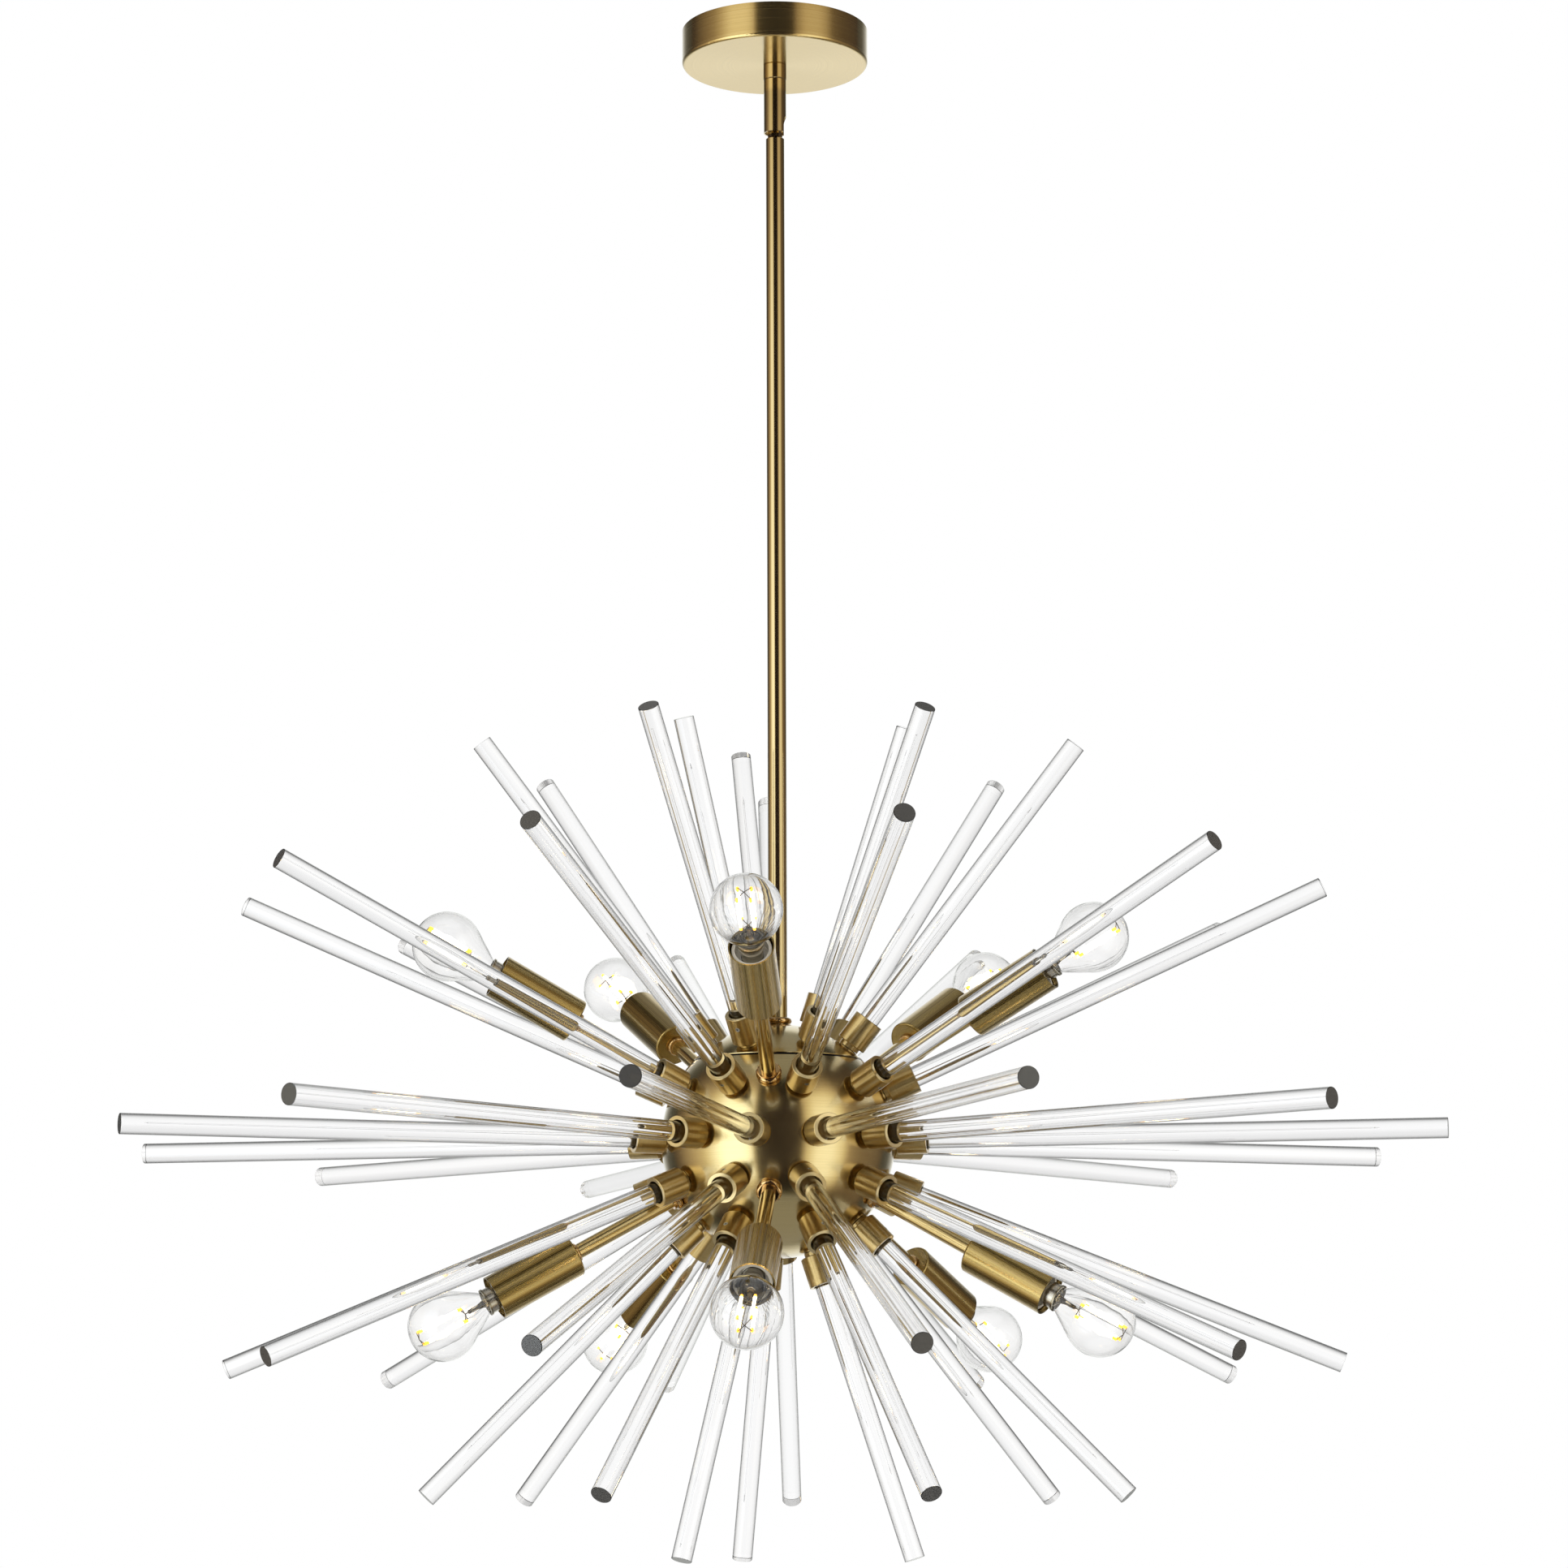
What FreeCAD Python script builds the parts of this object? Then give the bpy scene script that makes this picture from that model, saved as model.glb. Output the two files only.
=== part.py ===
import FreeCAD, Part
import math
import os
import re

import Sketcher
from FreeCAD import Vector

# Hanging lamp with a brass ball, 52 clear rods and 10 lamps. The origin is the centre of the
# canopy on the ceiling, +Z up, so that everything lies below z = 0. Azimuth 0 is the front (-Y),
# and azimuth 90 is +X. Pieces on the stem are drawn along +X as depth below the ceiling, and
# pieces on the ball along +X as distance from the ball's centre.

# Every size is in mm, and every angle in degrees.
SIZES = [
    ("drop", 767, "ceiling to the centre of the ball"),
    # rods: reach is the distance of the tip from the ball's centre
    ("rod_diameter", 13.5, "clear rod"),
    ("rod_start", 84.3, "inner end of every rod"),
    ("rod_edge", 0.4, "ground edge at the tip"),
    ("equator_reach", 440, "12 rods"),
    ("low_reach", 397.5, "20 rods"),
    ("mid_reach", 329, "14 rods"),
    ("steep_reach", 288, "6 rods"),
    # rings: turn is the azimuth of the first piece, rise its height above the equator
    ("equator_turn", -11, "ring of 12"),
    ("low_upper_turn", 12, "ring of 10"),
    ("low_upper_rise", 24.3, ""),
    ("low_lower_turn", 13, "ring of 10"),
    ("low_lower_rise", -21.9, ""),
    ("mid_upper_turn", 182, "ring of 7"),
    ("mid_upper_rise", 52.1, ""),
    ("mid_lower_turn", 177.8, "ring of 7"),
    ("mid_lower_rise", -45.15, ""),
    ("steep_upper_turn", 196.3, "ring of 3"),
    ("steep_upper_rise", 72, ""),
    ("steep_lower_turn", 196.1, "ring of 3"),
    ("steep_lower_rise", -71.7, ""),
    ("lamp_turn", -5, "two rings of 5"),
    ("lamp_upper_rise", 29.15, ""),
    ("lamp_lower_rise", -29, ""),
    # ball
    ("ball_radius", 77.5, "outside of both shells"),
    ("ball_wall", 1.2, "spun brass"),
    ("seam_rise", 53.45, "seam above the ball's centre"),
    ("rim_radius", 50, "hole in the turned-in rims"),
    ("rim_edge", 0.3, "broken edge of the cap"),
    ("seam_gap", 0.5, "groove in the shell under the cap, seen as a dark line"),
    ("seam_depth", 1, ""),
    ("arm_hole", 10.4, "diameter, arms and stem thread"),
    ("bolt_hole", 5.5, "diameter, cup bolts"),
    ("bridge_length", 108, "steel bar under the shell's rim"),
    ("bridge_width", 20, ""),
    ("bridge_thickness", 3, ""),
    # rod cups
    ("cup_radius", 10.25, ""),
    ("cup_bore_radius", 7.75, "rod plus a gap all round"),
    ("cup_back", 80.3, "from the ball's centre"),
    ("cup_mouth", 100.3, ""),
    ("cup_neck_radius", 7, "between the cup and the ball"),
    ("cup_edge", 0.5, "broken edges"),
    ("cup_thread_radius", 2.55, "blind hole for the bolt"),
    ("cup_thread_end", 82.5, ""),
    ("grub_place", 93.3, "set screw from the ball's centre"),
    ("grub_radius", 1.5, ""),
    ("grub_gap", 0.05, "running gap of the set screw, all round"),
    ("grub_key", 1.5, "hexagon socket across flats"),
    ("grub_key_depth", 1.2, ""),
    ("bolt_radius", 2.5, ""),
    ("bolt_end", 82.3, ""),
    ("bolt_head_radius", 4.25, ""),
    ("bolt_head_height", 3.2, ""),
    ("bolt_key", 3, "hexagon socket across flats"),
    ("bolt_key_depth", 1.6, ""),
    # lamp arms
    ("arm_radius", 5, "M10 tube"),
    ("arm_bore_radius", 3.5, ""),
    ("arm_start", 68, ""),
    ("arm_end", 171, ""),
    ("thread_gap", 0.05, "all round a piece screwed on an M10 tube"),
    ("collar_radius", 8.5, "bead at the ball"),
    ("collar_step_radius", 6.5, ""),
    ("collar_bead_end", 81.7, ""),
    ("collar_end", 83.5, ""),
    ("nut_flats", 14, "across flats"),
    ("arm_nut_height", 3, ""),
    ("seat_radius", 6.75, "bead behind the lamp cup"),
    ("seat_height", 3, ""),
    ("seat_bulge", 1, ""),
    # lamp cups and sockets
    ("lamp_cup_radius", 14.75, ""),
    ("lamp_cup_wall", 0.9, ""),
    ("lamp_cup_back", 156.7, ""),
    ("lamp_cup_back_wall", 1.5, ""),
    ("lamp_cup_mouth", 216.7, ""),
    ("socket_radius", 12.75, "insulating body"),
    ("socket_start", 166, ""),
    ("socket_end", 213.5, ""),
    ("socket_edge", 0.8, ""),
    ("socket_throat_radius", 10.75, "recess in the mouth"),
    ("socket_throat_depth", 7.5, ""),
    ("socket_bore_radius", 7.8, ""),
    ("socket_bore_floor", 190, ""),
    ("socket_bush_end", 172, "part that sits on the arm"),
    ("socket_wire_radius", 2.6, "hole for the conductors"),
    ("screw_shell_radius", 7.75, "contact shell of the socket"),
    ("screw_shell_wall", 0.5, ""),
    ("screw_shell_start", 191, ""),
    ("screw_shell_end", 206, ""),
    ("screw_shell_floor_radius", 4.5, "hole in its floor"),
    ("contact_radius", 2.5, ""),
    ("contact_end", 198.3, ""),
    # lamps: E14 cap, G45 globe
    ("lamp_contact_start", 198.4, ""),
    ("lamp_insulator_start", 199.5, ""),
    ("cap_start", 203, ""),
    ("cap_thread_radius", 6.95, ""),
    ("cap_wall", 0.4, ""),
    ("cap_thread_end", 216, ""),
    ("cap_flare", 1, "slope from the thread out to the skirt"),
    ("cap_skirt_radius", 8.5, ""),
    ("cap_skirt_end", 222.2, ""),
    ("cap_ring_radius", 9.15, ""),
    ("cap_ring_end", 223.5, ""),
    ("cap_ring_gap", 0.3, "cement between the ring and the glass"),
    ("neck_start", 219, "open end of the glass"),
    ("neck_radius", 7.4, ""),
    ("globe_wall", 0.8, ""),
    ("globe_centre", 255, ""),
    ("globe_radius", 23, ""),
    ("globe_flare", 32.1, "half angle of the glass cone"),
    ("foot_radius", 6.2, "glass foot of the lamp's inner stem"),
    ("foot_start", 221, ""),
    ("foot_brim", 1, "thickness of its flat brim"),
    ("foot_taper", 4, "where it has narrowed to the tube"),
    ("foot_end", 236, ""),
    ("foot_tube_radius", 2.1, ""),
    ("filament_start", 240, ""),
    ("filament_end", 272, ""),
    ("filament_radius", 0.9, ""),
    ("filament_spread", 6, "from the axis of the lamp"),
    ("spider_wire", 0.8, "square wire that carries the filaments"),
    ("post_overlap", 1, "middle wire beyond the foot and the far cross"),
    # stem
    ("stem_radius", 6.35, "1/2 in tube"),
    ("stem_bore_radius", 5.1, ""),
    ("stem_edge", 0.8, "broken edge at the top"),
    ("stem_top", 76.3, ""),
    ("stem_joint", 235.3, "seen as a fine line"),
    ("coupling_length", 21, ""),
    ("coupling_overlap", 10.3, "part of it above the joint"),
    ("tube_bore_radius", 3.6, "bore of the short threaded tubes"),
    ("bead_radius", 9.3, "ring where the stem meets the ball"),
    ("bead_start", 685, ""),
    ("bead_length", 4.5, ""),
    ("bead_shoulder", 7.15, "radius of its two faces"),
    ("bead_bore_radius", 6.4, ""),
    ("end_thread_start", 675, ""),
    ("end_thread_end", 725, ""),
    ("stem_nut_height", 4, ""),
    # swivel
    ("pivot_depth", 66, "centre of the swivel ball"),
    ("pivot_radius", 6, ""),
    ("pivot_gap", 0.05, "running gap"),
    ("pivot_bore_radius", 2.7, ""),
    ("pivot_neck_radius", 3.6, ""),
    ("pivot_neck_end", 72, ""),
    ("pivot_flats", 8.6, "hexagon above the stem"),
    ("pivot_end", 88, "end of the thread in the stem"),
    ("socket_barrel_radius", 7.7, ""),
    ("socket_barrel_end", 72.6, ""),
    ("socket_barrel_edge", 0.4, "broken edge that shows as the seam to the collar"),
    ("socket_lip_depth", 68.8, "narrowest place under the ball"),
    ("socket_mouth_radius", 6.9, ""),
    ("slot_width", 9.5, ""),
    ("slot_round", 65.25, "centre of the slot's round end"),
    ("slot_turn", 90, "azimuth of the slot"),
    # canopy and ceiling
    ("canopy_radius", 64, ""),
    ("canopy_depth", 24, ""),
    ("canopy_wall", 1, ""),
    ("canopy_round", 2, ""),
    ("clamp_radius", 7.95, "screwed collar under the canopy"),
    ("clamp_end", 34.7, ""),
    ("clamp_edge", 0.4, ""),
    ("spigot_end", 44, "thread that the swivel turns on"),
    ("tube_radius", 5, "M10 tube through the crossbar"),
    ("tube_start", 8, ""),
    ("tube_inner_radius", 3.25, ""),
    ("bar_width", 18, ""),
    ("bar_thickness", 2, ""),
    ("bar_web_half", 26, "lowered middle of the crossbar"),
    ("bar_web_depth", 14, ""),
    ("bar_half", 50, ""),
    ("slot_centre", 40, "screw slots to the ceiling box"),
    ("slot_long", 16, ""),
    ("slot_wide", 4.6, ""),
    ("tube_nut_height", 3.5, ""),
    ("ground_place", 15, "bonding screw from the centre"),
    ("ground_radius", 2, ""),
    ("ground_head_radius", 3.5, ""),
    ("ground_head_height", 2.5, ""),
    ("ground_end", 19, ""),
    ("ground_slot_depth", 1, ""),
    ("ground_slot_width", 1, ""),
    # wiring
    ("joiner_start", 30, "twist-on connectors from the centre"),
    ("joiner_length", 20, ""),
    ("joiner_radius", 6, ""),
    ("joiner_tip_radius", 4, ""),
    ("joiner_bore_radius", 2.5, ""),
    ("joiner_bore_depth", 14, ""),
    ("joiner_depth", 10, "below the ceiling"),
    ("lead_radius", 0.9, "leads in the canopy"),
    ("lead_spread", 1.9, "from the axis of the stem"),
    ("lead_bottom", 58, "just above the swivel ball"),
    ("lead_top", 4, "where a lead turns outwards, over the tube"),
    ("lead_turn", 20, "where it comes level with its connector, from the centre"),
    ("lead_end", 42, ""),
    ("lead_first_bend", 3, ""),
    ("lead_second_bend", 8, ""),
    ("supply_radius", 0.8, "conductors in the stem"),
    ("supply_spread", 1.7, ""),
    ("supply_start", 68, "just below the swivel ball"),
    ("supply_straight_end", 735, "where the conductors spread to the splices"),
    ("supply_spread_end", 749, ""),
    ("supply_end", 767, ""),
    ("supply_bend", 12, ""),
    ("splice_radius", 5.5, ""),
    ("splice_spread", 6, "from the axis of the stem"),
    ("splice_length", 20, ""),
    ("splice_bore_radius", 2, ""),
    ("splice_bore_depth", 12, ""),
    ("arm_wire_radius", 1, ""),
    ("arm_wire_spread", 1.3, ""),
    ("arm_wire_start", 24, ""),
    ("arm_wire_end", 188, ""),
]

doc = FreeCAD.newDocument("sputnik_chandelier")
sheet = doc.addObject("Spreadsheet::Sheet", "sizes")
for row, (name, size, note) in enumerate(SIZES, start=1):
    sheet.set("A%d" % row, name)
    sheet.set("B%d" % row, str(size))
    sheet.set("C%d" % row, note)
    sheet.setAlias("B%d" % row, name)
doc.recompute()

ALIASES = {name for name, size, note in SIZES}
NODES = {}


def value(text):
    """The number that an expression of sheet names has now."""
    return float(sheet.evalExpression(text))


def linked(text):
    """The same expression as seen from another object."""
    return re.sub(r"[a-z][a-z_]*", lambda word: "sizes." + word.group()
                  if word.group() in ALIASES else word.group(), text)


def bind(piece, **settings):
    """Bind properties: a double underscore in a name stands for a dot."""
    for prop, text in settings.items():
        piece.setExpression(prop.replace("__", "."), linked(text))
    return piece


def node(label, piece):
    piece.Label = label
    NODES[label] = piece
    return piece


# ---- ways of making a piece ----

def origin_plane(body, role):
    return [plane for plane in body.Origin.OriginFeatures if plane.Role == role][0]


def add_sketch(body, label, role):
    sketch = body.newObject("Sketcher::SketchObject", label)
    sketch.AttachmentSupport = (origin_plane(body, role), "")
    sketch.MapMode = "FlatFace"
    return sketch


def arc_between(start, end, radius, side):
    """The arc that bulges to the left (side 1) or the right (side -1) of start to end."""
    chord = end - start
    left = Vector(-chord.y, chord.x, 0).normalize()
    depth = math.sqrt(max(radius ** 2 - (chord.Length / 2) ** 2, 0))
    centre = (start + end) * 0.5 - left * (side * depth)
    first, last = (end, start) if side > 0 else (start, end)
    angles = [math.atan2(p.y - centre.y, p.x - centre.x) for p in (first, last)]
    circle = Part.Circle(centre, Vector(0, 0, 1), radius)
    return Part.ArcOfCircle(circle, angles[0], angles[1])


def draw_outline(sketch, points, arcs=None):
    """A closed outline. An entry of arcs, (radius, side), replaces the line after that point."""
    arcs = arcs or {}
    corners = [Vector(value(x), value(y), 0) for x, y in points]
    ends = []
    for i, start in enumerate(corners):
        end = corners[(i + 1) % len(corners)]
        if i in arcs:
            radius, side = arcs[i]
            sketch.addGeometry(arc_between(start, end, value(radius), side), False)
            ends.append((2, 1) if side > 0 else (1, 2))
        else:
            sketch.addGeometry(Part.LineSegment(start, end), False)
            ends.append((1, 2))
    for i in range(len(points)):
        after = (i + 1) % len(points)
        sketch.addConstraint(Sketcher.Constraint("Coincident", i, ends[i][1], after, ends[after][0]))
    for i, (x, y) in enumerate(points):
        for axis, text, place in (("DistanceX", x, corners[i].x), ("DistanceY", y, corners[i].y)):
            if text == "0":
                line = -2 if axis == "DistanceX" else -1
                sketch.addConstraint(Sketcher.Constraint("PointOnObject", i, ends[i][0], line))
            else:
                index = sketch.addConstraint(
                    Sketcher.Constraint(axis, -1, 1, i, ends[i][0], place))
                sketch.setExpression("Constraints[%d]" % index, linked(text))
    for i, (radius, side) in arcs.items():
        index = sketch.addConstraint(Sketcher.Constraint("Radius", i, value(radius)))
        sketch.setExpression("Constraints[%d]" % index, linked(radius))


def turned(label, points, arcs=None):
    """A piece turned round the X axis from (distance along the axis, radius) points."""
    body = doc.addObject("PartDesign::Body", label)
    sketch = add_sketch(body, label + "_outline", "XY_Plane")
    draw_outline(sketch, points, arcs)
    turn = body.newObject("PartDesign::Revolution", label + "_turn")
    turn.Profile = sketch
    turn.ReferenceAxis = (sketch, ["H_Axis"])
    turn.Angle = 360
    body.Tip = turn
    return body


def tube(label, start, end, radius, bore):
    return turned(label, [(start, bore), (start, radius), (end, radius), (end, bore)])


def rod(label, start, end, radius):
    """A cylinder along the X axis."""
    cylinder = doc.addObject("Part::Cylinder", label)
    bind(cylinder, Radius=radius, Height="%s - (%s)" % (end, start))
    return bind(cylinder, Placement__Base__x=start, Placement__Rotation__Pitch="90")


def hexagon(label, start, end, flats):
    """A hexagonal bar along the X axis, with two of its flats facing +Y and -Y."""
    prism = doc.addObject("Part::Prism", label)
    prism.Polygon = 6
    bind(prism, Circumradius="%s / sqrt(3)" % flats, Height="%s - (%s)" % (end, start))
    return bind(prism, Placement__Base__x=start, Placement__Rotation__Pitch="90")


def cut(label, base, tool):
    piece = doc.addObject("Part::Cut", label)
    piece.Base = base
    piece.Tool = tool
    return piece


def group(label, pieces):
    compound = doc.addObject("Part::Compound", label)
    compound.Links = pieces
    return compound


def fused(label, pieces):
    piece = doc.addObject("Part::MultiFuse", label)
    piece.Shapes = pieces
    return piece


def nut(label, start, end, bore):
    blank = hexagon(label + "_blank", start, end, "nut_flats")
    hole = rod(label + "_thread", start, end, bore)
    return cut(label, blank, hole)


def hang(piece, turn="0"):
    """Place a piece of the stem, whose local Z side then faces the azimuth turn + 90."""
    return bind(piece, Placement__Rotation__Pitch="90", Placement__Rotation__Yaw=turn)


def copy_of(label, piece):
    """A linked copy, whose own placement comes on top of the one that the piece has."""
    link = doc.addObject("App::Link", label)
    link.LinkedObject = piece
    link.LinkTransform = True
    return link


def hung_copy(label, piece):
    return hang(copy_of(label, piece))


# ---- places round the ball ----

class Ring:
    """Evenly spaced places at one height on the ball; flip turns the local Z side down."""

    def __init__(self, name, count, turn, rise, flip):
        self.name = name
        self.count = count
        self.turn = turn
        self.rise = rise
        self.flip = flip

    def place(self, piece, index):
        azimuth = "%s + %d * 360 / %d" % (self.turn, index, self.count)
        # yaw is the azimuth less 90, kept between -180 and 180
        bind(piece, Placement__Rotation__Yaw="mod(%s + 90; 360) - 180" % azimuth)
        bind(piece, Placement__Rotation__Pitch="-(%s)" % self.rise)
        bind(piece, Placement__Rotation__Roll="180" if self.flip else "0")
        return bind(piece, Placement__Base__z="-drop")


EQUATOR = Ring("equator", 12, "equator_turn", "0", True)
LOW_UPPER = Ring("low_upper", 10, "low_upper_turn", "low_upper_rise", True)
LOW_LOWER = Ring("low_lower", 10, "low_lower_turn", "low_lower_rise", False)
MID_UPPER = Ring("mid_upper", 7, "mid_upper_turn", "mid_upper_rise", True)
MID_LOWER = Ring("mid_lower", 7, "mid_lower_turn", "mid_lower_rise", False)
STEEP_UPPER = Ring("steep_upper", 3, "steep_upper_turn", "steep_upper_rise", True)
STEEP_LOWER = Ring("steep_lower", 3, "steep_lower_turn", "steep_lower_rise", False)
LAMPS_UPPER = Ring("upper", 5, "lamp_turn", "lamp_upper_rise", True)
LAMPS_LOWER = Ring("lower", 5, "lamp_turn", "lamp_lower_rise", False)
CAP_RINGS = [MID_UPPER, STEEP_UPPER]
SHELL_RINGS = [EQUATOR, LOW_UPPER, LOW_LOWER, MID_LOWER, STEEP_LOWER]
LAMP_RINGS = [LAMPS_UPPER, LAMPS_LOWER]


def around(label, piece, rings):
    """Copies of a piece at every place of the rings, as one group of separate solids."""
    links = []
    for ring in rings:
        for index in range(ring.count):
            link = copy_of("%s_%s_%d" % (label, ring.name, index + 1), piece)
            links.append(ring.place(link, index))
    return group(label, links)


# ---- ceiling side ----

def make_crossbar():
    # a flat strap bent like a hat: two flanges on the ceiling, the web below them
    body = doc.addObject("PartDesign::Body", "crossbar")
    sketch = add_sketch(body, "crossbar_outline", "XZ_Plane")
    leg = "(bar_web_half + bar_thickness)"
    web_back = "(bar_web_depth + bar_thickness)"
    draw_outline(sketch, [
        ("-bar_half", "0"), ("-bar_web_half", "0"), ("-bar_web_half", "-bar_web_depth"),
        ("bar_web_half", "-bar_web_depth"), ("bar_web_half", "0"), ("bar_half", "0"),
        ("bar_half", "-bar_thickness"), (leg, "-bar_thickness"), (leg, "-" + web_back),
        ("-" + leg, "-" + web_back), ("-" + leg, "-bar_thickness"), ("-bar_half", "-bar_thickness"),
    ])
    strap = body.newObject("PartDesign::Pad", "crossbar_strap")
    strap.Profile = sketch
    strap.Midplane = True
    bind(strap, Length="bar_width")
    body.Tip = strap
    drills = []
    for side, sign in (("left", "-"), ("right", "")):
        box = doc.addObject("Part::Box", "slot_%s_middle" % side)
        bind(box, Length="slot_long - slot_wide", Width="slot_wide", Height="2 * bar_thickness")
        bind(box, Placement__Base__x="%sslot_centre - (slot_long - slot_wide) / 2" % sign)
        bind(box, Placement__Base__y="-slot_wide / 2", Placement__Base__z="-1.5 * bar_thickness")
        drills.append(box)
        for end, way in (("inner", "-"), ("outer", "+")):
            drill = doc.addObject("Part::Cylinder", "slot_%s_%s" % (side, end))
            bind(drill, Radius="slot_wide / 2", Height="2 * bar_thickness")
            bind(drill, Placement__Base__x="%sslot_centre %s (slot_long - slot_wide) / 2" % (sign, way))
            drills.append(bind(drill, Placement__Base__z="-1.5 * bar_thickness"))
    for label, place, radius in (("tube", "0", "arm_hole / 2"),
                                 ("ground", "ground_place", "ground_radius + grub_gap")):
        drill = doc.addObject("Part::Cylinder", "bar_%s_hole" % label)
        bind(drill, Radius=radius, Height="4 * bar_thickness", Placement__Base__x=place)
        drills.append(bind(drill, Placement__Base__z="-bar_web_depth - 2.5 * bar_thickness"))
    tools = fused("crossbar_holes", drills)
    node("crossbar", cut("crossbar_drilled", body, tools))


def make_ceiling_tube():
    node("threaded_nipple", hang(tube("ceiling_tube", "tube_start", "spigot_end",
                                      "tube_radius", "tube_inner_radius")))
    bore = "tube_radius + thread_gap"
    above = nut("upper_nut", "bar_web_depth - tube_nut_height", "bar_web_depth", bore)
    web_back = "bar_web_depth + bar_thickness"
    below = nut("lower_nut", web_back, web_back + " + tube_nut_height", bore)
    nuts = [hung_copy("upper_nut_placed", above), hung_copy("lower_nut_placed", below)]
    node("nipple_nuts", group("nipple_nut_pair", nuts))


def make_canopy():
    inner = "canopy_radius - canopy_wall"
    body = turned("canopy_shell", [
        ("0", inner), ("0", "canopy_radius"), ("canopy_depth - canopy_round", "canopy_radius"),
        ("canopy_depth", "canopy_radius - canopy_round"), ("canopy_depth", "arm_hole / 2"),
        ("canopy_depth - canopy_wall", "arm_hole / 2"),
        ("canopy_depth - canopy_wall", "canopy_radius - canopy_round"),
        ("canopy_depth - canopy_round", inner),
    ], {2: ("canopy_round", 1), 6: ("canopy_round - canopy_wall", -1)})
    node("canopy", hang(body))


def make_canopy_collar():
    body = turned("clamp", [
        ("canopy_depth", "tube_radius + thread_gap"),
        ("canopy_depth", "clamp_radius - clamp_edge"),
        ("canopy_depth + clamp_edge", "clamp_radius"),
        ("clamp_end - clamp_edge", "clamp_radius"),
        ("clamp_end", "clamp_radius - clamp_edge"),
        ("clamp_end", "pivot_radius"), ("spigot_end", "pivot_radius"),
        ("spigot_end", "tube_radius + thread_gap"),
    ])
    node("canopy_collar", hang(body))


def make_ground_screw():
    start = "bar_web_depth - ground_head_height"
    head = turned("ground_screw_turned", [
        (start, "0"), (start, "ground_head_radius - cup_edge"),
        (start + " + cup_edge", "ground_head_radius"), ("bar_web_depth", "ground_head_radius"),
        ("bar_web_depth", "ground_radius"), ("ground_end", "ground_radius"), ("ground_end", "0"),
    ])
    slot = doc.addObject("Part::Box", "ground_screw_slot")
    bind(slot, Length="ground_slot_depth", Width="3 * ground_head_radius", Height="ground_slot_width")
    bind(slot, Placement__Base__x=start, Placement__Base__y="-1.5 * ground_head_radius")
    bind(slot, Placement__Base__z="-ground_slot_width / 2")
    screw = hang(cut("ground_screw_cut", head, slot))
    node("ground_screw", bind(screw, Placement__Base__x="ground_place"))


def make_wire_nuts():
    end = "joiner_start + joiner_length"
    floor = "joiner_start + joiner_bore_depth"
    joiner = turned("joiner", [
        ("joiner_start", "joiner_bore_radius"), ("joiner_start", "joiner_radius"),
        (end, "joiner_tip_radius"), (end, "0"), (floor, "0"), (floor, "joiner_bore_radius"),
    ])
    links = []
    for yaw in LEAD_YAWS:
        link = copy_of("joiner_at_%d" % yaw, joiner)
        bind(link, Placement__Rotation__Yaw=str(yaw), Placement__Base__z="-joiner_depth")
        links.append(link)
    node("wire_nuts", group("joiners", links))


# ---- wires ----

# directions of the three canopy leads from +X towards +Y: the middle one runs on its own side
# of the stem's axis, and the two others start on the far side of it
LEAD_YAWS = [30, 90, 150]


def bent_wire(points, bends, radius):
    """A round wire along straight runs joined by tangent arcs, with its volume compared."""
    edges = []
    start = points[0]
    for corner, after, bend in zip(points[1:-1], points[2:], bends):
        way_in = (corner - start).normalize()
        way_out = (after - corner).normalize()
        half_turn = way_in.getAngle(way_out) / 2
        reach = bend * math.tan(half_turn)
        first = corner - way_in * reach
        last = corner + way_out * reach
        inward = (way_out - way_in).normalize()
        centre = corner + inward * (bend / math.cos(half_turn))
        edges.append(Part.LineSegment(start, first).toShape())
        edges.append(Part.Arc(first, centre - inward * bend, last).toShape())
        start = last
    edges.append(Part.LineSegment(start, points[-1]).toShape())
    path = Part.Wire(edges)
    ring = Part.Wire(Part.Circle(points[0], points[1] - points[0], radius).toShape())
    solid = path.makePipeShell([ring], True, True)
    expected = math.pi * radius ** 2 * path.Length
    print("wire of %.1f mm: volume %.1f mm3, section times length %.1f mm3" % (
        path.Length, solid.Volume, expected))
    return solid


def wire_piece(label, shape):
    piece = doc.addObject("Part::Feature", label)
    piece.Shape = shape
    return piece


def make_canopy_wires():
    spread = value("lead_spread")
    bends = [value("lead_first_bend"), value("lead_second_bend")]
    depth = Vector(0, 0, -value("joiner_depth"))
    wires = []
    for yaw in LEAD_YAWS:
        outward = FreeCAD.Rotation(Vector(0, 0, 1), yaw).multVec(Vector(1, 0, 0))
        offset = outward * (spread if yaw == 90 else -spread)
        points = [
            offset - Vector(0, 0, value("lead_bottom")), offset - Vector(0, 0, value("lead_top")),
            outward * value("lead_turn") + depth, outward * value("lead_end") + depth,
        ]
        wires.append(wire_piece("canopy_lead_%d" % yaw, bent_wire(points, bends, value("lead_radius"))))
    node("canopy_wires", group("canopy_leads", wires))


def make_supply_wires():
    spread = value("supply_spread")
    aside = value("splice_spread")
    radius = value("supply_radius")
    bends = [value("supply_bend")] * 2
    top, low, spread_end, end = [-value("supply_" + name) for name in
                                 ("start", "straight_end", "spread_end", "end")]
    wires = []
    for side in (-1, 1):
        points = [
            Vector(side * spread, 0, top), Vector(side * spread, 0, low),
            Vector(side * aside, 0, spread_end), Vector(side * aside, 0, end),
        ]
        label = "supply_lead_%s" % ("left" if side < 0 else "right")
        wires.append(wire_piece(label, bent_wire(points, bends, radius)))
    ground = [Vector(0, spread, top), Vector(0, spread, low)]
    wires.append(wire_piece("supply_lead_ground", bent_wire(ground, [], radius)))
    node("supply_wires", group("supply_leads", wires))


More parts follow.
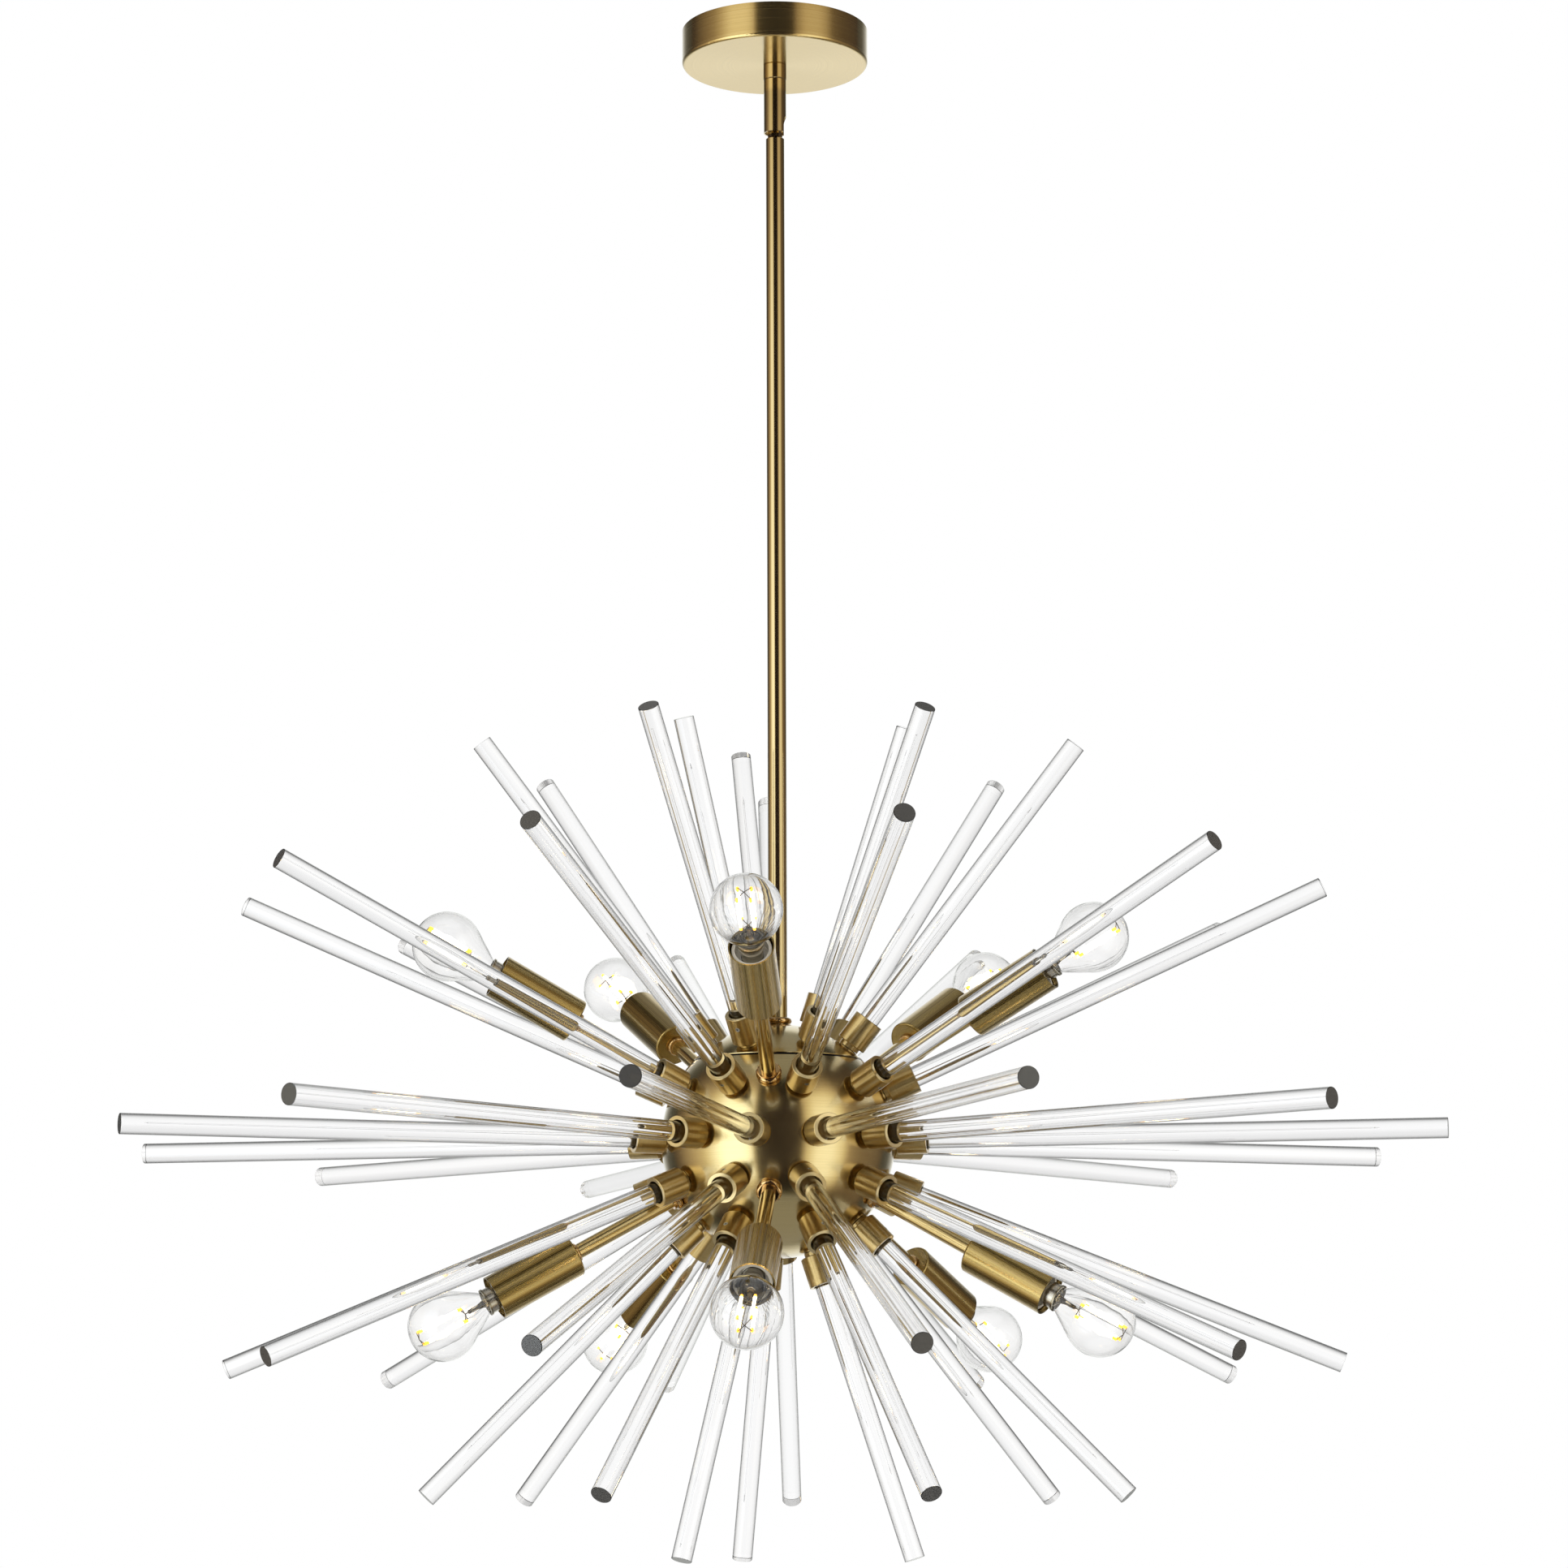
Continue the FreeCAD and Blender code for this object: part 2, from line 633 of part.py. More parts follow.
def make_splice_caps():
    start = "drop - splice_length / 2"
    end = "drop + splice_length / 2"
    floor = start + " + splice_bore_depth"
    closed = turned("splice", [
        (start, "splice_bore_radius"), (start, "splice_radius"),
        (end + " - splice_bore_radius", "splice_radius"),
        (end, "splice_radius - splice_bore_radius"), (end, "0"),
        (floor, "0"), (floor, "splice_bore_radius"),
    ])
    pair = []
    for side, sign in (("left", "-"), ("right", "")):
        link = hung_copy("splice_%s" % side, closed)
        pair.append(bind(link, Placement__Base__x=sign + "splice_spread"))
    node("splice_caps", group("splices", pair))


def make_lamp_wires():
    pair = []
    for side, sign in (("upper", ""), ("lower", "-")):
        lead = rod("lamp_lead_%s" % side, "arm_wire_start", "arm_wire_end", "arm_wire_radius")
        pair.append(bind(lead, Placement__Base__z=sign + "arm_wire_spread"))
    node("lamp_wires", around("lamp_leads", group("lamp_lead_pair", pair), LAMP_RINGS))


# ---- swivel ----

def make_swivel_socket():
    seat = "pivot_radius + pivot_gap"
    barrel = turned("swivel_barrel", [
        ("clamp_end", seat), ("clamp_end", "socket_barrel_radius - socket_barrel_edge"),
        ("clamp_end + socket_barrel_edge", "socket_barrel_radius"),
        ("socket_barrel_end", "socket_barrel_radius"), ("socket_barrel_end", "socket_mouth_radius"),
        ("socket_lip_depth", "sqrt((%s)^2 - (socket_lip_depth - pivot_depth)^2)" % seat),
        ("pivot_depth", seat),
    ], {5: (seat, -1)})
    # the slot runs from its round end down through the rim, on one side only
    slot = doc.addObject("Part::Box", "swivel_slot_walls")
    bind(slot, Length="2 * (socket_barrel_end - slot_round)", Width="slot_width")
    bind(slot, Height="2 * socket_barrel_radius")
    bind(slot, Placement__Base__x="slot_round", Placement__Base__y="-slot_width / 2")
    top = doc.addObject("Part::Cylinder", "swivel_slot_end")
    bind(top, Radius="slot_width / 2", Height="2 * socket_barrel_radius")
    bind(top, Placement__Base__x="slot_round")
    piece = cut("swivel_barrel_slotted", barrel, fused("swivel_slot", [slot, top]))
    node("swivel_socket", hang(piece, "slot_turn - 90"))


def make_swivel_ball():
    bore_end = "sqrt(pivot_radius^2 - pivot_bore_radius^2)"
    neck_start = "sqrt(pivot_radius^2 - pivot_neck_radius^2)"
    thread = "tube_radius + thread_gap"
    body = turned("swivel_ball_turned", [
        ("pivot_depth - " + bore_end, "pivot_bore_radius"),
        ("pivot_depth + " + neck_start, "pivot_neck_radius"),
        ("pivot_neck_end", "pivot_neck_radius"), ("pivot_neck_end", "pivot_flats / 2"),
        ("stem_top", "pivot_flats / 2"), ("stem_top", thread), ("pivot_end", thread),
        ("pivot_end", "pivot_bore_radius"),
    ], {0: ("pivot_radius", 1)})
    bar = hexagon("swivel_hexagon_bar", "pivot_neck_end", "stem_top", "pivot_flats")
    bore = rod("swivel_hexagon_bore", "pivot_neck_end", "stem_top", "pivot_bore_radius")
    piece = fused("swivel_ball_with_hexagon", [body, cut("swivel_hexagon", bar, bore)])
    node("swivel_ball", hang(piece, "slot_turn - 90"))


# ---- stem ----

def make_stem():
    upper = turned("stem_upper_tube", [
        ("stem_top", "stem_bore_radius"), ("stem_top", "stem_radius - stem_edge"),
        ("stem_top + stem_edge", "stem_radius"), ("stem_joint", "stem_radius"),
        ("stem_joint", "stem_bore_radius"),
    ])
    node("stem_upper", hang(upper))
    coupling_start = "stem_joint - coupling_overlap"
    thread = "tube_radius + thread_gap"
    node("stem_coupling", hang(tube("coupling_tube", coupling_start,
                                    coupling_start + " + coupling_length", thread, "tube_bore_radius")))
    # the lower tube stands on the edge of the hole in the ball
    foot = "drop - sqrt(ball_radius^2 - (arm_hole / 2)^2)"
    node("stem_lower", hang(tube("stem_lower_tube", "stem_joint", foot, "stem_radius", "stem_bore_radius")))
    node("stem_end_thread", hang(tube("end_thread_tube", "end_thread_start", "end_thread_end",
                                      thread, "tube_bore_radius")))
    bead_end = "bead_start + bead_length"
    bulge = "((bead_length / 2)^2 + (bead_radius - bead_shoulder)^2) / (2 * (bead_radius - bead_shoulder))"
    bead = turned("stem_bead", [
        ("bead_start", "bead_bore_radius"), ("bead_start", "bead_shoulder"),
        (bead_end, "bead_shoulder"), (bead_end, "bead_bore_radius"),
    ], {1: (bulge, 1)})
    node("stem_ring", hang(bead))
    top = "drop - seam_rise + ball_wall + bridge_thickness"
    node("stem_nut", hang(nut("stem_nut_piece", top, top + " + stem_nut_height", thread)))


# ---- ball ----

def ball_drills(label, rings, radius):
    drill = rod(label + "_drill", "ball_radius - 5 * ball_wall", "ball_radius + 5 * ball_wall", radius)
    return around(label, drill, rings)


def make_ball():
    seam = "drop - seam_rise"
    inside = "(ball_radius - ball_wall)"
    outer_edge = "sqrt(ball_radius^2 - seam_rise^2)"
    shell = turned("shell_blank", [
        (seam, "rim_radius"), (seam, outer_edge + " - seam_depth"),
        (seam + " + seam_gap", outer_edge + " - seam_depth"),
        (seam + " + seam_gap", "sqrt(ball_radius^2 - (seam_rise - seam_gap)^2)"),
        ("drop + ball_radius", "0"), ("drop + " + inside, "0"),
        (seam + " + ball_wall", "sqrt(%s^2 - (seam_rise - ball_wall)^2)" % inside),
        (seam + " + ball_wall", "rim_radius"),
    ], {3: ("ball_radius", 1), 5: (inside, -1)})
    cap = turned("cap_blank", [
        ("drop - sqrt(%s^2 - (arm_hole / 2)^2)" % inside, "arm_hole / 2"),
        ("drop - sqrt(ball_radius^2 - (arm_hole / 2)^2)", "arm_hole / 2"),
        (seam + " - rim_edge", "sqrt(ball_radius^2 - (seam_rise + rim_edge)^2)"),
        (seam, outer_edge + " - rim_edge"), (seam, "rim_radius"), (seam + " - ball_wall", "rim_radius"),
        (seam + " - ball_wall", "sqrt(%s^2 - (seam_rise + ball_wall)^2)" % inside),
    ], {1: ("ball_radius", 1), 6: (inside, -1)})
    shell_bolts = ball_drills("shell_bolt_holes", SHELL_RINGS, "bolt_hole / 2")
    shell_arms = ball_drills("shell_arm_holes", LAMP_RINGS, "arm_hole / 2")
    cap_bolts = ball_drills("cap_bolt_holes", CAP_RINGS, "bolt_hole / 2")
    bolted = cut("shell_with_bolt_holes", hang(shell), shell_bolts)
    node("sphere_shell", cut("shell_with_all_holes", bolted, shell_arms))
    node("sphere_cap", cut("cap_with_holes", hang(cap), cap_bolts))


def make_bridge():
    bar = doc.addObject("Part::Box", "bridge_bar")
    bind(bar, Length="bridge_length", Width="bridge_width", Height="bridge_thickness")
    bind(bar, Placement__Base__x="-bridge_length / 2", Placement__Base__y="-bridge_width / 2")
    bind(bar, Placement__Base__z="-drop + seam_rise - ball_wall - bridge_thickness")
    hole = doc.addObject("Part::Cylinder", "bridge_hole")
    bind(hole, Radius="arm_hole / 2", Height="3 * bridge_thickness")
    bind(hole, Placement__Base__z="-drop + seam_rise - ball_wall - 2 * bridge_thickness")
    node("sphere_bridge", cut("bridge_drilled", bar, hole))


# ---- rods and their cups ----

def make_rods():
    radius = "rod_diameter / 2"
    rings = [("equator", [EQUATOR]), ("low", [LOW_UPPER, LOW_LOWER]),
             ("mid", [MID_UPPER, MID_LOWER]), ("steep", [STEEP_UPPER, STEEP_LOWER])]
    for name, places in rings:
        reach = name + "_reach"
        clear_rod = turned("clear_rod_" + name, [
            ("rod_start", "0"), ("rod_start", radius), (reach + " - rod_edge", radius),
            (reach, radius + " - rod_edge"), (reach, "0"),
        ])
        node("rods_" + name, around("rods_" + name + "_placed", clear_rod, places))


def make_rod_cups():
    # the neck stands on the edge of the bolt hole
    foot = "sqrt(ball_radius^2 - (bolt_hole / 2)^2)"
    cup = turned("rod_cup_turned", [
        (foot, "cup_thread_radius"), (foot, "cup_neck_radius"), ("cup_back", "cup_neck_radius"),
        ("cup_back", "cup_radius - cup_edge"), ("cup_back + cup_edge", "cup_radius"),
        ("cup_mouth - cup_edge / 2", "cup_radius"), ("cup_mouth", "cup_radius - cup_edge / 2"),
        ("cup_mouth", "cup_bore_radius"), ("rod_start", "cup_bore_radius"), ("rod_start", "0"),
        ("cup_thread_end", "0"), ("cup_thread_end", "cup_thread_radius"),
    ])
    drill = doc.addObject("Part::Cylinder", "grub_hole")
    bind(drill, Radius="grub_radius + grub_gap", Height="2 * cup_radius", Placement__Base__x="grub_place")
    rings = SHELL_RINGS + CAP_RINGS
    node("rod_cups", around("rod_cups_placed", cut("rod_cup", cup, drill), rings))

    shank = doc.addObject("Part::Cylinder", "grub_shank")
    start = "rod_diameter / 2 + grub_gap"
    bind(shank, Radius="grub_radius", Height="cup_radius - (%s)" % start)
    bind(shank, Placement__Base__x="grub_place", Placement__Base__z=start)
    key = doc.addObject("Part::Prism", "grub_key_hole")
    key.Polygon = 6
    bind(key, Circumradius="grub_key / sqrt(3)", Height="2 * grub_key_depth")
    bind(key, Placement__Base__x="grub_place", Placement__Base__z="cup_radius - grub_key_depth")
    node("set_screws", around("set_screws_placed", cut("set_screw", shank, key), rings))

    # the flat underside of the head sits on the edge of its own circle inside the ball
    under_head = "sqrt((ball_radius - ball_wall)^2 - bolt_head_radius^2)"
    head_start = under_head + " - bolt_head_height"
    bolt = turned("cup_bolt_turned", [
        (head_start, "0"), (head_start, "bolt_head_radius - cup_edge"),
        (head_start + " + cup_edge", "bolt_head_radius"), (under_head, "bolt_head_radius"),
        (under_head, "bolt_radius"), ("bolt_end", "bolt_radius"), ("bolt_end", "0"),
    ])
    socket = hexagon("bolt_key_hole", head_start, head_start + " + bolt_key_depth", "bolt_key")
    node("cup_bolts", around("cup_bolts_placed", cut("cup_bolt", bolt, socket), rings))


# ---- lamp arms ----

def make_arms():
    thread = "arm_radius + thread_gap"
    arm = tube("arm_tube", "arm_start", "arm_end", "arm_radius", "arm_bore_radius")
    node("lamp_arms", around("arms_placed", arm, LAMP_RINGS))

    foot = "sqrt(ball_radius^2 - (arm_hole / 2)^2)"
    bead = "(collar_radius - collar_step_radius)"
    half = "((collar_bead_end - %s) / 2)" % foot
    bulge = "(%s^2 + %s^2) / (2 * %s)" % (half, bead, bead)
    collar = turned("arm_collar", [
        (foot, thread), (foot, "collar_step_radius"), ("collar_bead_end", "collar_step_radius"),
        ("collar_end", "collar_step_radius"), ("collar_end", thread),
    ], {1: (bulge, 1)})
    node("arm_collars", around("arm_collars_placed", collar, LAMP_RINGS))

    # one nut inside the ball, on its own corners, and one inside the lamp cup
    inner_end = "sqrt((ball_radius - ball_wall)^2 - nut_flats^2 / 3)"
    inner = nut("arm_inner_nut", inner_end + " - arm_nut_height", inner_end, thread)
    outer_start = "lamp_cup_back + lamp_cup_back_wall"
    outer = nut("arm_outer_nut", outer_start, outer_start + " + arm_nut_height", thread)
    node("arm_nuts", around("arm_nuts_placed", group("arm_nut_pair", [inner, outer]), LAMP_RINGS))

    start = "lamp_cup_back - seat_height"
    shoulder = "seat_radius - seat_bulge"
    seat = turned("arm_seat", [
        (start, thread), (start, shoulder), ("lamp_cup_back", shoulder), ("lamp_cup_back", thread),
    ], {1: ("((seat_height / 2)^2 + seat_bulge^2) / (2 * seat_bulge)", 1)})
    node("arm_seat_rings", around("arm_seats_placed", seat, LAMP_RINGS))


def make_lamp_cups():
    inner = "lamp_cup_radius - lamp_cup_wall"
    front = "lamp_cup_back + lamp_cup_back_wall"
    cup = turned("lamp_cup", [
        ("lamp_cup_back", "arm_hole / 2"), ("lamp_cup_back", "lamp_cup_radius - lamp_cup_back_wall"),
        (front, "lamp_cup_radius"), ("lamp_cup_mouth", "lamp_cup_radius"),
        ("lamp_cup_mouth", inner), (front, inner), (front, "arm_hole / 2"),
    ], {1: ("lamp_cup_back_wall", 1)})
    node("socket_cups", around("lamp_cups_placed", cup, LAMP_RINGS))


def make_sockets():
    throat = "socket_end - socket_throat_depth"
    insulator = turned("socket_insulator", [
        ("socket_start", "arm_radius + thread_gap"), ("socket_start", "socket_radius - socket_edge"),
        ("socket_start + socket_edge", "socket_radius"), ("socket_end", "socket_radius"),
        ("socket_end", "socket_throat_radius"), (throat, "socket_throat_radius"),
        (throat, "socket_bore_radius"), ("socket_bore_floor", "socket_bore_radius"),
        ("socket_bore_floor", "socket_wire_radius"), ("socket_bush_end", "socket_wire_radius"),
        ("socket_bush_end", "arm_radius + thread_gap"),
    ])
    node("socket_bodies", around("socket_bodies_placed", insulator, LAMP_RINGS))

    inner = "screw_shell_radius - screw_shell_wall"
    floor = "screw_shell_start + screw_shell_wall"
    shell = turned("screw_shell", [
        ("screw_shell_start", "screw_shell_floor_radius"), ("screw_shell_start", "screw_shell_radius"),
        ("screw_shell_end", "screw_shell_radius"), ("screw_shell_end", inner),
        (floor, inner), (floor, "screw_shell_floor_radius"),
    ])
    node("socket_shells", around("screw_shells_placed", shell, LAMP_RINGS))

    contact = rod("socket_contact", "socket_bore_floor", "contact_end", "contact_radius")
    node("socket_contacts", around("contacts_placed", contact, LAMP_RINGS))


# ---- lamps ----

def lamp_base_pieces():
    thread_bore = "cap_thread_radius - cap_wall"
    skirt_bore = "cap_skirt_radius - cap_wall"
    cap = turned("lamp_cap", [
        ("cap_start", thread_bore), ("cap_start", "cap_thread_radius"),
        ("cap_thread_end", "cap_thread_radius"), ("cap_thread_end + cap_flare", "cap_skirt_radius"),
        ("cap_skirt_end", "cap_skirt_radius"), ("cap_skirt_end", skirt_bore),
        ("cap_thread_end + cap_flare + cap_wall", skirt_bore), ("cap_thread_end + cap_wall", thread_bore),
    ])
    ring = tube("lamp_cap_ring", "cap_skirt_end", "cap_ring_end", "cap_ring_radius",
                "neck_radius + cap_ring_gap")
    insulator = turned("lamp_insulator", [
        ("lamp_insulator_start", "0"), ("lamp_insulator_start", "cap_thread_radius / 2"),
        ("cap_start", thread_bore), ("cap_start", "0"),
    ])
    contact = turned("lamp_contact", [
        ("lamp_contact_start", "0"), ("lamp_contact_start", "contact_radius - cup_edge"),
        ("lamp_insulator_start", "contact_radius"), ("lamp_insulator_start", "0"),
    ])
    return [cap, ring, insulator, contact]


def globe_side(radius, neck):
    """Where the glass cone meets the sphere of that radius and the neck of that radius."""
    meet_x = "globe_centre - (%s) * sin(globe_flare)" % radius
    meet_r = "(%s) * cos(globe_flare)" % radius
    bend_x = "%s - (%s - (%s)) / tan(globe_flare)" % (meet_x, meet_r, neck)
    return (bend_x, neck), (meet_x, meet_r)


def lamp_globe():
    inner_radius = "globe_radius - globe_wall"
    inner_neck = "neck_radius - globe_wall"
    outer_bend, outer_meet = globe_side("globe_radius", "neck_radius")
    inner_bend, inner_meet = globe_side(inner_radius, inner_neck)
    return turned("lamp_globe", [
        ("neck_start", inner_neck), ("neck_start", "neck_radius"), outer_bend, outer_meet,
        ("globe_centre + globe_radius", "0"), ("globe_centre + " + inner_radius, "0"),
        inner_meet, inner_bend,
    ], {3: ("globe_radius", 1), 5: (inner_radius, -1)})


def filament_mount():
    # a glass foot, a wire through the middle, and two crosses that carry four sticks
    foot = turned("filament_foot", [
        ("foot_start", "0"), ("foot_start", "foot_radius"), ("foot_start + foot_brim", "foot_radius"),
        ("foot_start + foot_taper", "foot_tube_radius"), ("foot_end", "foot_tube_radius"), ("foot_end", "0"),
    ])
    post = rod("filament_post", "foot_end - post_overlap", "filament_end + post_overlap", "spider_wire / 2")
    pieces = [foot, post]
    for end in ("start", "end"):
        for side, across in (("y", "Width"), ("z", "Height")):
            bar = doc.addObject("Part::Box", "spider_%s_%s" % (end, side))
            bind(bar, Length="spider_wire", Width="spider_wire", Height="spider_wire")
            bind(bar, **{across: "2 * filament_spread"})
            bind(bar, Placement__Base__x="filament_%s - spider_wire / 2" % end)
            bind(bar, Placement__Base__y="-filament_spread" if side == "y" else "-spider_wire / 2")
            bind(bar, Placement__Base__z="-filament_spread" if side == "z" else "-spider_wire / 2")
            pieces.append(bar)
    for index, (y, z) in enumerate([("1", "0"), ("0", "1"), ("-1", "0"), ("0", "-1")], start=1):
        stick = rod("filament_%d" % index, "filament_start", "filament_end", "filament_radius")
        bind(stick, Placement__Base__y=y + " * filament_spread", Placement__Base__z=z + " * filament_spread")
        pieces.append(stick)
    return fused("filament_mount", pieces)


def make_lamps():
    globe = group("lamp_glass", [lamp_globe(), filament_mount()])
    base = group("lamp_base", lamp_base_pieces())
    for ring in LAMP_RINGS:
        for index in range(ring.count):
            for name, piece in (("globe", globe), ("base", base)):
                label = "bulb_%s_%d_%s" % (ring.name, index + 1, name)
                node(label, ring.place(copy_of(label + "_placed", piece), index))


make_crossbar()
make_ceiling_tube()
make_canopy()
make_canopy_collar()
make_ground_screw()
make_wire_nuts()
make_canopy_wires()
make_swivel_socket()
make_swivel_ball()
make_stem()
make_ball()
make_bridge()
make_supply_wires()
make_splice_caps()
make_rods()
make_rod_cups()
make_arms()
make_lamp_cups()
make_sockets()
make_lamp_wires()
make_lamps()
doc.recompute()

for piece in doc.Objects:
    if "Invalid" in piece.State or "Error" in piece.State:
        raise RuntimeError("%s did not compute: %s" % (piece.Name, piece.State))
shapes = {}
for label, piece in NODES.items():
    shape = Part.getShape(piece)
    if shape.isNull() or not shape.isValid() or not shape.Solids:
        raise RuntimeError("%s has no valid solid" % label)
    shapes[label] = shape

os.makedirs("parts", exist_ok=True)
for label, shape in shapes.items():
    shape.exportStep("parts/%s.step" % label)
    box = shape.BoundBox
    print("%-24s %3d solids %10.1f mm3  z %8.2f to %8.2f" % (
        label, len(shape.Solids), shape.Volume, box.ZMin, box.ZMax))
print("%d nodes" % len(shapes))
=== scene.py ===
import math

import bmesh
import bpy
from mathutils import Matrix, Vector


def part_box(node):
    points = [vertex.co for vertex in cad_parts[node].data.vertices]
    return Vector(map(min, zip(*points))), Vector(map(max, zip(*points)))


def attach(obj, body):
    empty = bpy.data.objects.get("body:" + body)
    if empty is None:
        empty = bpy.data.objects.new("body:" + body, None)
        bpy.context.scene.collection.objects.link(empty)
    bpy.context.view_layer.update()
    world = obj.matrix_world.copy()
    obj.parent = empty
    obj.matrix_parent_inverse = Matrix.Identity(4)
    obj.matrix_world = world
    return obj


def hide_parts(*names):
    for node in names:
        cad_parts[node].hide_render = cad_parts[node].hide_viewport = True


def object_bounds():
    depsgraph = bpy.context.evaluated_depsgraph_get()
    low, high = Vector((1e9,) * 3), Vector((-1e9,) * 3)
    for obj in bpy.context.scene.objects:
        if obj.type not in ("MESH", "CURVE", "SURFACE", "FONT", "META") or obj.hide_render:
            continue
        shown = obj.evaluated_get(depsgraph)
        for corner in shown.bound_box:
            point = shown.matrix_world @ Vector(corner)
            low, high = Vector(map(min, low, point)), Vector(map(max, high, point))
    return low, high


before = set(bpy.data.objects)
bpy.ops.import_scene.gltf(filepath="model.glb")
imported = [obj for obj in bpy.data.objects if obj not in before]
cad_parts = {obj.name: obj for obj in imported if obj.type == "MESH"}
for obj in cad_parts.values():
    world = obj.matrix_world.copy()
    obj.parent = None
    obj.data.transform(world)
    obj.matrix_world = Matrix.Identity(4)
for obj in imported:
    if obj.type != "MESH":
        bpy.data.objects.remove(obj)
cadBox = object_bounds()
scene = bpy.context.scene
mm = 0.001
print("frame loaded:", len(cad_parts), "nodes")

# The lamp hangs from the ceiling plane at z = 0. Everything on the ball points away from its centre.
shellLow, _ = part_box("sphere_shell")
_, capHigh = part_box("sphere_cap")
ballCentre = Vector((0, 0, (shellLow.z + capHigh.z) / 2))


photoCamera = {
    "lens": 102.5,          # mm
    "place": (0.0, -2.959, -1.0226),
    "tilt": 99.51,          # degrees up from straight down
    "roll": -0.18,
    "shiftX": 0.0044,
    "sensor": 36,           # mm wide
    "sight": 60,            # m, far enough for the whole floor
}


def addCamera(look):
    data = bpy.data.cameras.new("photoCamera")
    data.lens = look["lens"]
    data.sensor_width = look["sensor"]
    data.shift_x = look["shiftX"]
    data.clip_end = look["sight"]
    camera = bpy.data.objects.new("photoCamera", data)
    scene.collection.objects.link(camera)
    tilt = Matrix.Rotation(math.radians(look["tilt"]), 4, "X")
    roll = Matrix.Rotation(math.radians(look["roll"]), 4, "Z")
    camera.matrix_world = Matrix.Translation(look["place"]) @ tilt @ roll
    scene.camera = camera


addCamera(photoCamera)
print("camera set")


def linear(code):
    # sRGB hex to the linear colour that the shader takes
    parts = [int(code[i:i + 2], 16) / 255 for i in (1, 3, 5)]
    return tuple(p / 12.92 if p <= 0.04045 else ((p + 0.055) / 1.055) ** 2.4 for p in parts) + (1.0,)


def addNode(tree, kind, settings=None, links=None):
    # settings: attribute or input socket to value. links: input socket to (node, output socket)
    node = tree.nodes.new(kind)
    for name, value in (settings or {}).items():
        if isinstance(name, str) and hasattr(node, name):
            setattr(node, name, value)
        else:
            node.inputs[name].default_value = value
    for name, (source, output) in (links or {}).items():
        tree.links.new(source.outputs[output], node.inputs[name])
    return node


def rampStops(ramp, stops):
    # stops: list of (position, colour or grey level)
    points = ramp.color_ramp.elements
    while len(points) < len(stops):
        points.new(0.5)
    for point, (position, level) in zip(points, sorted(stops)):
        point.position = position
        point.color = level if isinstance(level, tuple) else (level, level, level, 1.0)


studio = {
    # the tent round the lamp as metal sees it, in degrees from the camera, left negative:
    # two softboxes in front, the left one stronger, and white paper behind
    "walls": [
        (-180, 1.1), (-167, 1.0), (-160, 0.75), (-150, 0.38), (-140, 0.13), (-126, 0.07), (-114, 0.18),
        (-102, 0.42), (-90, 0.65), (-78, 0.9), (-66, 1.6), (-54, 2.5), (-34, 2.5), (-26, 2.0), (-22, 0.05),
        (0, 0.03), (22, 0.05), (27, 0.9), (38, 1.6), (54, 1.65), (65, 1.2), (74, 0.42), (90, 0.27),
        (114, 0.2), (126, 0.08), (138, 0.13), (150, 0.45), (160, 0.85), (167, 1.05), (180, 1.1),
    ],
    # warm mid tones and pale highlights, by the share of the brightest light
    "softboxTint": [
        (0.0, "#FFDDE8"), (0.05, "#FFE1C6"), (0.25, "#FFECCF"), (0.42, "#FFF6DA"), (0.66, "#F8FCFF"),
        (1.0, "#F0F8FF"),
    ],
    "paperTint": "#F8FAF6",
    "tentRadius": 1.2, "tentSides": 128,
    "tentLow": -2.6, "tentHigh": 1.2,       # heights below and above the ceiling
    # how bright the softboxes and the paper stay at each height
    "softboxShare": [
        (-2.4, 0.12), (-1.9, 0.35), (-1.55, 1.0), (-0.35, 0.95), (0.1, 0.76), (0.4, 0.34), (0.7, 0.17),
    ],
    "paperShare": [(-2.4, 0.3), (-1.6, 1.0), (0.4, 1.0), (0.75, 0.3)],
    "paperFrom": 0.55,       # of the tent's radius, behind the lamp
    "overhead": 0.33,        # what metal sees over the tent
    "below": 0.36,           # and under it
    "fill": 0.85,            # soft light from all round
    # light seen through glass by the ray's rise, from straight down to straight up
    "throughGlass": [
        (-1.0, 0.95), (-0.88, 0.85), (-0.78, 0.3), (-0.64, 0.36), (-0.5, 0.7), (-0.36, 0.92), (-0.2, 1.0),
        (0.1, 1.0), (0.22, 0.93), (0.36, 0.88), (0.6, 0.84), (0.8, 0.6), (1.0, 0.6),
    ],
    "floorDrop": 0.30,       # below the lowest point of the lamp
    "floorSize": 14.0, "floorSides": 96,
    "floorColour": "#F3F2F0",
    "floorFade": (2.0, 4.5),       # the floor turns into the white background between these distances
    # name, place, width in m, watts
    "lamps": [
        ("leftSoftbox", (-2.2, -2.0, 0.6), 1.8, 22),
        ("rightSoftbox", (2.2, -2.0, 0.6), 1.8, 18),
        ("topSoftbox", (0.0, 0.6, 2.2), 2.4, 26),
    ],
}


